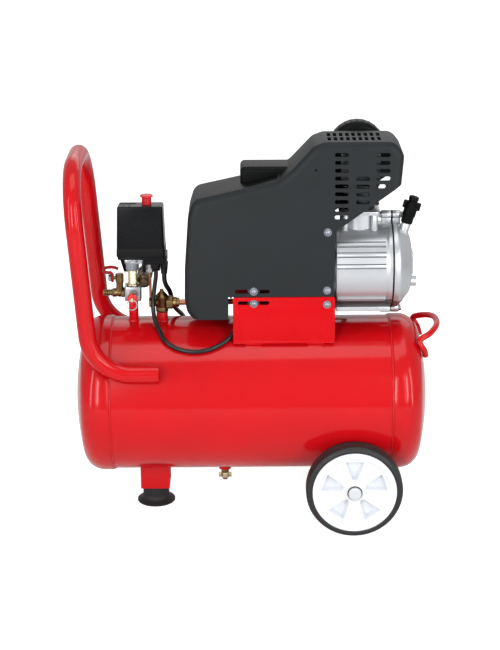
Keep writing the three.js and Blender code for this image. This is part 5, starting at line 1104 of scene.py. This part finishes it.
def screws():
    places = []
    for side in (-1, 1):
        for x, z in ((-7, 356), (105, 354)):
            places.append(((x, side * 67.9, z), (0, side, 0), (1, 0, 0.4)))
        for x, z in ((-7, 375.6), (105, 376.5), (105.7, 466)):
            places.append(((x, side * (cowl_half(z) + 0.9), z), (0, side, 0.092), (1, 0, 0.8)))
    copies_piece("pan_screws", screw_shapes(), places, SCREW_ZINC, angle=40)


cowl()
plates()
screws()

# ---- Motor and pump

CASE_RADIUS = 66
CASE_END, COVER_START = 205.7, 207.7
EAR_HEIGHTS = (78, -73)
# Heights below which the case and cover take the painted shade and painted red reflection.
CASE_SHADE, COVER_SHADE = -43, -47


def axis_point(x, y, z):
    """A place given from the shaft's axis."""
    return (x, y, SHAFT_Z + z)


def on_case(height):
    """How far out the case's near wall lies at a height over the axis."""
    return -math.sqrt(CASE_RADIUS**2 - height**2)


def crankcase():
    x = CYLINDER_X
    profile = [(8.6, 92.3), (57.2, 92.3), (58, 93.1), (58, 119), (58.4, 119.5), (65.2, 119.5), (66, 120.3), (66, 194.5),
               (66.3, 196.5), (67, 198.6), (67.8, 200), (68, 200.8), (68, 205.2), (67.5, 205.7), (56, 205.7),
               (56, 123.5), (50, 123.5), (50, 100.3), (20, 100.3), (20, 125), (8.6, 125), (8.6, 92.3)]
    barrel = make("barrel", turned(profile, axis_point(0, 0, 0), (1, 0, 0), FINE_SIDES), [])
    carved(barrel, make("under", box(axis_point(90, -70, -70), axis_point(196, 70, -61.5)), []))
    shapes = as_shape(barrel)
    shapes += pipe_wall(27, 22.5, 58, 84, axis_point(x, 0, 0), (0, 0, 1), SIDES, 0.8)
    for dx in (-22.5, 22.5):
        for dy in (-22.5, 22.5):
            shapes += bar(axis_point(x + dx, dy, 58), axis_point(x + dx, dy, 84), 5.8, 40, 0.6, 5.3)
    thing = make("crankcase_barrel", shapes, [CAST, CAST_PAINTED_LOW_SHADE])
    # Faces below CASE_SHADE take the darker red-brown casting: painted shade and a painted reflection of the tank.
    for face in thing.data.polygons:
        face.material_index = int(face.center.z < (SHAFT_Z + CASE_SHADE) * MM)
    ready(thing, "crankcase", angle=40)
    band = prism(slot_outline(-38, 38, 0, 2.5), "z", -2.2, 1.7)
    places = []
    for z in (43.9, 30, 13.5):
        y = on_case(z)
        places.append((axis_point(158, y, z), (0, y, z), (1, 0, 0)))
    copies_piece("crankcase_ribs", band, places, CAST, edge=0.7)
    # Thin dark strips just proud of the case above and below each rib: painted shadow lines, not cut grooves.
    lines = []
    for _, out, along in places:
        for way in (-1, 1):
            z = out[2] + way * 3.1
            y = on_case(z)
            lines.append((axis_point(157.6, y, z), (0, y, z), along))
    shadow_strip = prism(slot_outline(-37.6, 37.6, 0, 0.75), "z", -0.5, 0.3)
    copies_piece("rib_grooves", shadow_strip, lines, CAST_PAINTED_RIB_SHADOW)
    rail = prism(slot_outline(-38, 38, 0, 3.6), "z", -3, 3.2)
    places = [(axis_point(158, y, -41), (0, y, -41), (1, 0, 0)) for y in (on_case(41), -on_case(41))]
    copies_piece("crankcase_rails", rail, places, CAST, edge=1.2)
    blocks = []
    for low, high in (((119, -55, -61.5), (203, 34, -54.1)), ((102, -54.8, 44), (108, 54.8, 74)),
                      ((102, -20, 40), (108, 20, 73)), ((97, -64.2, -54), (113, -40, -34.6)),
                      ((97, -62.9, -53), (113, -40, -16)), ((97, 40, -54), (113, 64.2, -34.6)),
                      ((97, 40, -53), (113, 62.9, -16))):
        blocks += box(axis_point(*low), axis_point(*high))
    piece("crankcase_lugs", blocks, CAST, edge=1.0, segments=3)
    ears("case_ears", 191, CASE_END)


def ears(name, low, high):
    """The round lugs of the cover's bolts on their short stalks."""
    shapes = []
    for z in EAR_HEIGHTS:
        inner, outer = sorted((z, math.copysign(60, z)))
        shapes += bar(axis_point(low, 0, z), axis_point(high, 0, z), 7, 48, 0.8)
        shapes += box(axis_point(low + 0.4, -5.6, inner), axis_point(high - 0.4, 5.6, outer))
    piece(name, shapes, CAST, edge=0.5)


def lean_axis():
    """The foot and the direction of the breather, which leans away from the cylinder."""
    tilt = math.radians(16)
    return Vector(axis_point(228.3, -15, 68.9)), Vector((math.sin(tilt), 0, math.cos(tilt)))


def end_cover():
    low = COVER_START
    outer = [(68, 0.4), (68, 5), (67.5, 7.4), (66, 10.3), (63, 13), (58.6, 16.4), (54, 19.8), (49.8, 23.4),
             (46.6, 25.8), (43, 27.5), (37, 28.9), (30, 30), (20, 31.2), (10, 32), (0, 32.3)]
    inner = [(0, 28.3), (30, 26.3), (40, 23.3), (56, 6.3), (56, 0), (67.6, 0)]
    shapes = turned(inner + outer, axis_point(low, 0, 0), (1, 0, 0), FINE_SIDES)
    top, lean = lean_axis()
    shapes += bar(top - lean * 28, top - lean * 0.3, 7.5, 48, 0.6)
    sight = [(0, 20.3), (8, 20.3), (8, 37), (7.4, 37.8), (6.6, 38), (5.4, 38), (5, 37.6), (5, 33), (0, 33)]
    sight_at = axis_point(low, -14, -25)
    shapes += turned(sight, sight_at, (1, 0, 0), 48)
    glass = turned([(0, 32.9), (4.8, 32.9), (4.8, 33.2), (0, 33.2)], sight_at, (1, 0, 0), 40)
    shapes += of_material(glass, 1)
    thing = make("cover_dome", shapes, [CAST, SHADE_BLACK, CAST_PAINTED_LOW_SHADE])
    # Faces below COVER_SHADE take the same painted shade and painted red reflection.
    for face in thing.data.polygons:
        if face.center.z < (SHAFT_Z + COVER_SHADE) * MM:
            face.material_index = 2
    ready(thing, "end_cover", angle=40)
    pad = box(axis_point(low + 27, -15, -15), axis_point(low + 33.3, 15, 20))
    piece("cover_pad", pad, CAST, edge=2.2, segments=4)
    ears("cover_ears", low, low + 12.3)
    gasket = pipe_wall(68.6, 56, 206, 207.4, axis_point(0, 0, 0), (1, 0, 0), FINE_SIDES, 0.2)
    for z in EAR_HEIGHTS:
        inner, outer = sorted((z, math.copysign(60, z)))
        gasket += bar(axis_point(206, 0, z), axis_point(207.4, 0, z), 7, 48, 0.2)
        gasket += box(axis_point(206.05, -5.6, inner), axis_point(207.35, 5.6, outer))
    piece("gasket_ring", gasket, RUBBER, "cover_gasket")


def hex_bolt():
    return bar((0, 0, 0), (0, 0, 1.1), 5.8, 40, 0.3) + bar((0, 0, 1), (0, 0, 4.6), 5, 6, 0.5)


def bolts():
    places = []
    for z in EAR_HEIGHTS:
        places.append((axis_point(220, 0, z), (1, 0, 0), (0, 1, 0)))
        places.append((axis_point(191, 0, z), (-1, 0, 0), (0, 1, 0.6)))
    for dx in (-24, 24):
        for dy in (-24, 24):
            places.append(((CYLINDER_X + dx, dy, 579.6), (0, 0, 1), (1, 0.3, 0)))
    copies_piece("hex_bolts", hex_bolt(), places, ZINC)


def breather():
    foot, lean = lean_axis()
    profile = [(0, 0), (8.4, 0), (8.9, 0.5), (8.9, 10.2), (9.3, 11), (9.7, 11.4), (9.7, 32.2), (9, 33.2), (7.4, 34.4),
               (6.9, 35.6), (7.1, 36.6), (7.8, 37.4), (7.8, 41.6), (7.2, 42.7), (6, 43), (4.6, 42.9), (4.2, 41.6),
               (0, 41.6)]
    wing = moved(box((-13.8, -2.6, -6.4), (13.8, 2.6, 6.4)), placed(foot + lean * 28.4, lean))
    piece("breather_wings", wing, DEEP_BLACK, edge=1.8, segments=3)
    piece("breather_body", turned(profile, foot, lean, 64), DEEP_BLACK, "breather_plug")
    places = ring_places(20, 9.6, foot + lean * 21.8, lean)
    copies_piece("breather_ribs", box((-0.7, -9.6, -0.4), (0.7, 9.6, 0.55)), places, DEEP_BLACK, edge=0.25)
    places = ring_places(16, 8.8, foot + lean * 5.4, lean)
    copies_piece("breather_flutes", box((-0.8, -4.2, -0.4), (0.8, 4.2, 0.35)), places, DEEP_BLACK, edge=0.2)


def cylinder():
    x, low = CYLINDER_X, 484.3
    square = lambda half, corner: rounded(rectangle(x - half, -half, x + half, half), corner, 5)
    # The bore, fins, valve plate and head take the near-black casting: painted shade inside the cowl.
    shapes = prism(square(31, 7), "z", low, low + 5.7)
    shapes += of_material(pipe_wall(25, 21.3, 0.2, 56, (x, 0, low), (0, 0, 1)), 1)
    piece("barrel_core", shapes, [CAST, CAST_PAINTED_INNER_SHADE], "cylinder", edge=0.5)
    fin = make("fin", prism([(px - x, py) for px, py in square(30, 9)], "z", -1, 1), [])
    carved(fin, make("fin_bore", turned([(0, -3), (23, -3), (23, 3), (0, 3)], sides=56), []))
    fin = as_shape(eased(fin, 0.6, 2))
    pitch = (56.2 - 5.7 - 2) / 5
    places = [((x, 0, low + 55.2 - index * pitch), (0, 0, 1), (1, 0, 0)) for index in range(5)]
    copies_piece("barrel_fins", fin, places, CAST_PAINTED_INNER_SHADE)
    carried("valve_plate", CAST_PAINTED_INNER_SHADE, 0.4)
    carried("cylinder_head", CAST_PAINTED_INNER_SHADE, 1.0)


def air_filter():
    origin, out = (CYLINDER_X, 0, 567.6), (0, 1, 0)
    near = cowl_half(530.6) + 0.3
    profile = [(0, near + 7), (9, near + 7), (9, 22.3), (12, 22.3), (12, near), (36, near), (40, near + 1.2),
               (42.8, near + 4), (44, near + 8), (44, near + 26), (42.8, near + 30), (40, near + 32.8), (36, near + 34),
               (30, near + 34), (28.6, near + 33), (27, near + 32.6), (0, near + 32.6)]
    body = turned(profile, origin, out, SIDES)
    piece("filter_case", body, DEEP_BLACK, "air_filter")
    places = ring_places(28, 43.8, (CYLINDER_X, near + 17, 567.6), out)
    copies_piece("filter_ribs", box((-1.1, -7.5, -0.6), (1.1, 7.5, 0.9)), places, DEEP_BLACK, edge=0.3)
    nut = bar((CYLINDER_X, near + 32.5, 567.6), (CYLINDER_X, near + 37, 567.6), 6, 6, 0.6)
    piece("filter_nut", nut, ZINC)


def motor():
    for node in ("stator", "rotor", "crankshaft", "connecting_rod", "piston"):
        carried(node, STEEL, 0.3)
    # The end shield takes the near-black casting: painted shade inside the motor.
    carried("end_shield", CAST_PAINTED_INNER_SHADE, 0.6)
    carried("cooling_fan", COWL_BLACK, 0.3)
    carried("capacitor", GLOSS_BLACK, 0.6)


crankcase()
end_cover()
bolts()
breather()
cylinder()
air_filter()
motor()

# ---- Pressure switch

KNOB_X = -171
HOOD_LOW, HOOD_RISE, HOOD_HALF = 419, 80, 26


def fallen(point):
    """The switch's top slopes down towards the far side."""
    x, y, z = point
    return (x, y, z - 5 * (z - HOOD_LOW) / HOOD_RISE * (y + HOOD_HALF) / (2 * HOOD_HALF))


def fallen_box(low, high):
    return [([fallen(p) for p in points], faces, number) for points, faces, number in box(low, high)]


def switch_cover():
    low_x, high_x, top_low_x, top_high_x = -218.4, -143.4, -215.4, -145.8
    outline = rounded(rectangle(low_x, -HOOD_HALF, high_x, HOOD_HALF), 5, 8)
    middle, top_middle = (low_x + high_x) / 2, (top_low_x + top_high_x) / 2
    narrow_x, narrow_y = (top_high_x - top_low_x) / (high_x - low_x), 24.5 / HOOD_HALF

    def layer(inset, z):
        up = (z - HOOD_LOW) / HOOD_RISE
        centre = middle + (top_middle - middle) * up
        ring = []
        for x, y in shrunk(outline, inset):
            x, y, z_here = fallen((x, y, z))
            ring.append((centre + (x - middle) * (1 + (narrow_x - 1) * up), y * (1 + (narrow_y - 1) * up), z_here))
        return ring

    levels = [(1.9, 419.4), (0.4, 419.2), (0, 420), (0, 431.4), (0.5, 431.9), (0.5, 432.7), (0.1, 433.3), (0.1, 496),
              (0.3, 497.2), (0.9, 498.3), (1.6, 498.8), (2.4, 499)]
    rings = [layer(*level) for level in levels]
    thing = make("switch_hood", grid(rings, False), [GLOSS_BLACK, BAND_BLACK])
    for face in thing.data.polygons:
        if face.center.z < 0.4315:
            face.material_index = 1
    recess = fallen_box((-212, -19, 497.8), (-188, 19, 503))
    carved(thing, make("hood_cuts", recess + bar((KNOB_X, 0, 480), (KNOB_X, 0, 503), 8.2, 48), []))
    ready(thing, "switch_cover", angle=35)
    bars = []
    for x, y, length in ((-207, -12, 7), (-207, -2, 9), (-207, 8, 6), (-197, -8, 10), (-197, 6, 8)):
        bars += fallen_box((x - 1.3, y, 497.6), (x + 1.3, y + length, 498.6))
    piece("hood_ribs", bars, GLOSS_BLACK, edge=0.3)


def switch_parts():
    carried("switch_base", GLOSS_BLACK, 0.7)
    carried("switch_plate", ZINC, 0.4)
    carried("switch_nut", SCREW_ZINC, 0.9, segments=3)
    carried("manifold_block", ZINC, 1.0, segments=3)
    carried("nipple", PALE_BRASS, 0.5)
    flanged = turned([(0, 509), (9.2, 509), (10, 509.5), (10.2, 510.3), (9.9, 511.2), (9, 511.7), (5, 512), (0, 512)],
                     (KNOB_X, 0, 0), (0, 0, 1), 64)
    stem = turned([(0, 480.3), (6.6, 480.3), (6.6, 506), (7.2, 508), (7.6, 509.2), (0, 509.2)], (KNOB_X, 0, 0))
    piece("knob_body", flanged + stem, RED_PLASTIC, "switch_knob", body="knob")
    places = ring_places(18, 6.7, (KNOB_X, 0, 494.5), (0, 0, 1))
    copies_piece("knob_ribs", box((-0.65, -12.5, -0.5), (0.65, 12.5, 0.75)), places, RED_PLASTIC, edge=0.25,
                 body="knob")


def ribbed(length, low, high, count):
    """A rubber sleeve's profile: round ribs that grow from its tip to its root."""
    pitch = length / count
    profile = [(0, 0)]
    for index in range(count):
        radius, at = low + (high - low) * (index + 0.5) / count, pitch * index
        rib = ((-0.9, 0.1), (-0.15, 0.35), (0, 0.8), (0, pitch - 1.1), (-0.15, pitch - 0.7), (-0.9, pitch - 0.4))
        profile += [(radius + out, at + on) for out, on in rib]
    return profile + [(high - 0.9, length), (0, length)]


def glands():
    """Ribbed rubber glands, one for each lead."""
    mains = turned(ribbed(20.3, 4.9, 6.9, 7), (-146.5, 2, 384.4), sides=48)
    piece("gland_mains", mains, RUBBER, "gland_cord")
    piece("gland_motor", turned(ribbed(11, 6.1, 6.9, 4), (-158.5, -11, 394), sides=48), RUBBER)


switch_cover()
switch_parts()
glands()

# ---- Fittings on the manifold

def safety_valve():
    y = -13.3
    at = lambda along: (RISER_X, y - along, 353)
    hexagon = bar(at(0), at(5), 7.5, 6, 0.6)
    out = (0, -1, 0)
    barrel = turned([(0, 0), (6, 0), (6, 9), (5.4, 10), (5.4, 11), (6, 12), (6, 12.5), (0, 12.5)], at(0), out, 48)
    piece("relief_body", hexagon + barrel, BRASS, "safety_valve_body")
    cap = turned([(0, 0), (7, 0), (7.5, 0.6), (7.5, 4.4), (7, 5.6), (5.8, 6.3), (4.2, 6.5), (0, 6.5)],
                 at(12.8), out, 64)
    stem = turned([(0, 6.2), (3.2, 6.2), (3.2, 10.8), (2.6, 11.5), (0, 11.5)], at(12.8), out, 40)
    piece("relief_cap", cap + of_material(stem, 1), [RED_PLASTIC, PALE_BRASS], "safety_plunger", body="plunger",
          slot="red_cap")
    places = ring_places(24, 7.45, at(12.8 + 2.4), out)
    copies_piece("relief_knurls", box((-0.45, -1.9, -0.3), (0.45, 1.9, 0.35)), places, RED_PLASTIC, body="plunger",
                 slot="red_cap")
    middle, radius, wire = Vector((RISER_X, y - (12.5 + 0.3 + 6.5 + 5 - 2.2), 345)), 8, 0.8
    ring = []
    for c, s in circle_points(64):
        away = Vector((s, 0, c))
        ring.append([middle + away * (radius + wire * ring_c) + Vector((0, wire * ring_s, 0))
                     for ring_c, ring_s in circle_points(12)])
    piece("relief_ring", grid(ring, True), STEEL, "pull_ring", body="ring", angle=60)


def outlet_cock():
    y, z = -4, 356
    start = RISER_X - 13.3
    body = bar((start, y, z), (start - 5, y, z), 8, 6, 0.7)
    body += turned([(0, 5), (6.4, 5), (7, 5.8), (7, 9), (6, 10.4), (6.4, 12), (7, 13), (7, 18.4), (6, 19.2), (0, 19.2)],
                   (start, y, z), (-1, 0, 0), 48)
    barb = [(0, 19)]
    for step in range(4):
        at = 19.4 + step * 3.5
        barb += [(4.3, at), (5.3, at + 0.5), (4.6, at + 3.2)]
    barb += [(4.3, 33.6), (0, 33.8)]
    body += turned(barb, (start, y, z), (-1, 0, 0), 48)
    column = [(0, 0), (6.5, 0), (6.5, 7), (5.6, 8.4), (5.6, 16), (6.3, 17), (6.5, 18), (6.5, 29.6), (5.6, 31), (0, 31)]
    body += turned(column, (-216, y, z), (0, 0, 1), 48)
    body += bar((-216, y, 380), (-233.5, y, 380), 3, 32)
    nut = bar((-229.6, y, 380), (-233.3, y, 380), 5.5, 6, 0.6)
    piece("cock_body", body + of_material(nut, 1), [BRASS, ZINC], "outlet_cock_body")
    middle = -227
    arm = [(middle, 384.8), (-229.5, 388.2), (-235.5, 388.6), (-240.2, 391.2), (-239, 395.2), (-232.5, 397.2),
           (-225, 397), (-217.5, 394.4)]
    lever = swept(smooth([(x, y, height) for x, height in arm], 40), 2.5, 24)
    lever += pipe_wall(7, 3.3, -2, 2, (middle, y, 380), (1, 0, 0), 64, 0.6)
    piece("cock_handle", lever, RED_DIP, "cock_lever", body="lever", angle=50)


def regulator():
    x, z, start = -180, 367, 13.3
    body = turned([(0, 0), (6, 0), (6, 4), (10, 5), (11, 6.5), (11, 20), (9.6, 21.5), (9.6, 24), (11, 25.5), (11, 36),
                   (10.4, 36.7), (6, 36.7), (6, 42.6), (0, 42.7)], (x, start, z), (0, 1, 0), 64)
    body += bar((x, start + 7, z), (x, start + 19, z), 11.9, 6, 0.8)
    # The regulator's case takes the darker brass: painted shade.
    piece("regulator_case", body, BRASS_IN_PAINTED_SHADE, "regulator_body")
    low = start + 37
    knob = pipe_wall(11.6, 6.6, 0, 6.2, (x, low, z), (0, 1, 0), 64, 0.5)
    knob += turned([(0, 6), (11.6, 6), (11.6, 19), (10.8, 21.2), (9.4, 22), (0, 22)], (x, low, z), (0, 1, 0), 64)
    piece("regulator_cap", knob, COWL_BLACK, "regulator_knob", body="regulator")
    places = ring_places(20, 11.5, (x, low + 10.5, z), (0, 1, 0))
    copies_piece("regulator_grips", box((-0.9, -8.5, -0.5), (0.9, 8.5, 0.5)), places, COWL_BLACK, edge=0.3,
                 body="regulator")


def gauge():
    x, y, z = -180, 36, 421
    case = turned([(0, 0), (18.6, 0), (20, 1.2), (20, 11.4), (19.6, 13.2), (18.8, 14), (17.5, 14), (17.5, 10), (0, 10)],
                  (x, y, z), (0, 1, 0), SIDES)
    case += bar((x, 43, 378.3), (x, 43, 405), 4, 6, 0.4) + bar((x, y + 8, z), (x, y + 12, z), 1, 20, 0.2)
    dial = turned([(0, 9.95), (17.4, 9.95), (17.4, 10.08), (0, 10.08)], (x, y, z), (0, 1, 0), SIDES)
    piece("gauge_case", case + of_material(dial, 1), [SHADE_BLACK, DIAL_WHITE], "pressure_gauge")
    marks = []
    for index in range(31):
        angle = math.radians(135 + 9 * index)
        out = Vector((math.sin(angle), 0, math.cos(angle)))
        size = 1.0 if index % 5 else 2.0
        for step in range(int(size * 2)):
            marks.append((Vector((x, y + 10.05, z)) + out * (16 - 0.8 * step), (0, 1, 0), out))
    copies_piece("gauge_marks", box((-0.45, -0.16, 0), (0.45, 0.16, 0.1)), marks, SHADE_BLACK)
    carried("gauge_needle", RED_PLASTIC, 0.15)


def check_valve():
    x = VALVE_X
    low = TANK_TOP + 14.3
    body = bar((x, 0, low), (x, 0, low + 8), 10, 6, 0.8)
    dome = [(0, 7), (8.6, 7), (9.4, 9), (9.4, 22.4), (10, 23.6), (10, 25.7), (8.6, 27), (4.2, 32.2), (3.2, 33.4),
            (3, 36), (2.2, 36.7), (0, 36.7)]
    body += turned(dome, (x, 0, low), (0, 0, 1), 48)
    body += bar((x, 0, 338), (-143.7, 0, 338), 6.5) + bar((-144, 0, 338), (-134, 0, 338), 11, 6, 1.0)
    body += turned([(0, 9.8), (8.4, 9.8), (8.8, 10.6), (8.8, 15), (7.4, 16.2), (7.4, 20.5), (0, 20.5)],
                   (-144, 0, 338), (1, 0, 0), 48)
    body += bar((-162.3, 0, 338), (x, 0, 338), 6.5) + bar((-171, 0, 338), (-162, 0, 338), 8.1, 6, 0.7)
    piece("valve_body", body, BRASS, "check_valve")


def pipes():
    corners = [(-123.2, 0, 338), (-50, 0, 338), (-20, 42, 326), (140, 42, 326), (140, 72, 345), (140, 72, 435),
               (140, 42, 478), (140, 42, 556), (140, 30.3, 556)]
    route = bent(corners, [14] * 6 + [9], 10)
    tube_piece("delivery_pipe", route, 4.5, COPPER, "discharge_pipe")
    thin = smooth([(-168.5, 0, 346.4), (-168.5, 0, 358), (-168.4, 0, 374), (-168.5, 0, 389)], 20)
    tube_piece("bleed_pipe", thin, 2, COPPER, "unloader_tube", sides=20)
    fitting = bar((-168.5, 0, 388), (-168.5, 0, 395), 6, 6, 0.5)
    fitting += bar((-168.5, 0, 394.5), (-168.5, 0, 404.7), 5.4, 40, 0.4)
    piece("bleed_fitting", fitting, ZINC)


def drain():
    x = DRAIN_X
    body = bar((x, 0, 54.7), (x, 0, 48.7), 7, 6, 0.6) + bar((x, 0, 54.7), (x, 0, 35.7), 4, 40)
    piece("drain_body", body, BRASS, "drain_cock_body")
    carried("drain_tap", PALE_BRASS, 0.4)


safety_valve()
outlet_cock()
regulator()
gauge()
check_valve()
pipes()
drain()

# ---- Floor, light and background

def see_white(tree, in_gloss):
    """A factor that is one for rays that see the background straight or through glass, and a share in gloss."""
    rays = tree.nodes.new("ShaderNodeLightPath").outputs
    gloss = add(tree, "ShaderNodeMath", {0: rays["Is Glossy Ray"], 1: in_gloss}, operation="MULTIPLY")
    most = add(tree, "ShaderNodeMath", {0: rays["Is Camera Ray"], 1: gloss.outputs[0]}, operation="MAXIMUM")
    most = add(tree, "ShaderNodeMath", {0: most.outputs[0], 1: rays["Is Transmission Ray"]}, operation="MAXIMUM")
    return most.outputs[0]


def blended(tree, factor, first, second, result):
    mix = add(tree, "ShaderNodeMixShader", {"Fac": factor, 1: first.outputs[0], 2: second.outputs[0]})
    tree.links.new(mix.outputs[0], tree.nodes[result].inputs["Surface"])


def surroundings():
    world = bpy.data.worlds.new("studio")
    bpy.context.scene.world = world
    world.use_nodes = True
    tree = world.node_tree
    light, white = (
        add(tree, "ShaderNodeBackground", {"Color": (1, 1, 1, 1), "Strength": power}) for power in (0.3, 1.0)
    )
    blended(tree, see_white(tree, 0.65), light, white, "World Output")

    floor_paint = bpy.data.materials.new("white floor")
    floor_paint.use_nodes = True
    tree = floor_paint.node_tree
    surface = tree.nodes["Principled BSDF"]
    for label, value in (("Base Color", (0.8, 0.8, 0.8, 1)), ("Roughness", 0.9), ("Specular IOR Level", 0.1)):
        surface.inputs[label].default_value = value
    glow = add(tree, "ShaderNodeEmission", {"Strength": 0.78})
    both = add(tree, "ShaderNodeAddShader", {0: surface.outputs[0], 1: glow.outputs[0]})
    blended(tree, see_white(tree, 0.2), surface, both, "Material Output")
    make("floor", box((-9000, -9000, -4), (9000, 9000, 0)), [floor_paint])


def lamp(name, place, target, size, power):
    data = bpy.data.lights.new(name, "AREA")
    data.shape = "RECTANGLE"
    data.size, data.size_y = size
    data.energy = power
    thing = linked(name, data)
    way = (Vector(target) - Vector(place)).normalized()
    thing.matrix_world = Matrix.Translation(Vector(place)) @ way.to_track_quat("-Z", "Y").to_matrix().to_4x4()


surroundings()
# Each lamp's name, place, the height it looks at, its size and its power in watts.
for name, place, height, size, power in (
    ("overhead", (0.1, -0.3, 2.6), 0.3, (2.0, 1.2), 20),
    ("left", (-0.85, -2.15, 1.0), 0.3, (0.85, 1.7), 13),
    ("left bar", (-0.74, -2.1, 0.95), 0.3, (0.22, 1.3), 13),
    ("right", (0.95, -2.1, 1.1), 0.3, (0.8, 1.8), 12),
    ("right bar", (1.1, -1.95, 1.0), 0.3, (0.22, 1.3), 12),
    ("left strip", (-1.95, -1.45, 1.0), 0.35, (0.3, 2.0), 18),
    ("right strip", (1.95, -1.45, 1.0), 0.35, (0.3, 2.0), 18),
    ("behind", (0.4, 2.3, 1.8), 0.4, (2.4, 1.2), 10),
):
    lamp(name, place, (0, 0, height), size, power)

bpy.context.scene.view_settings.view_transform = "Standard"
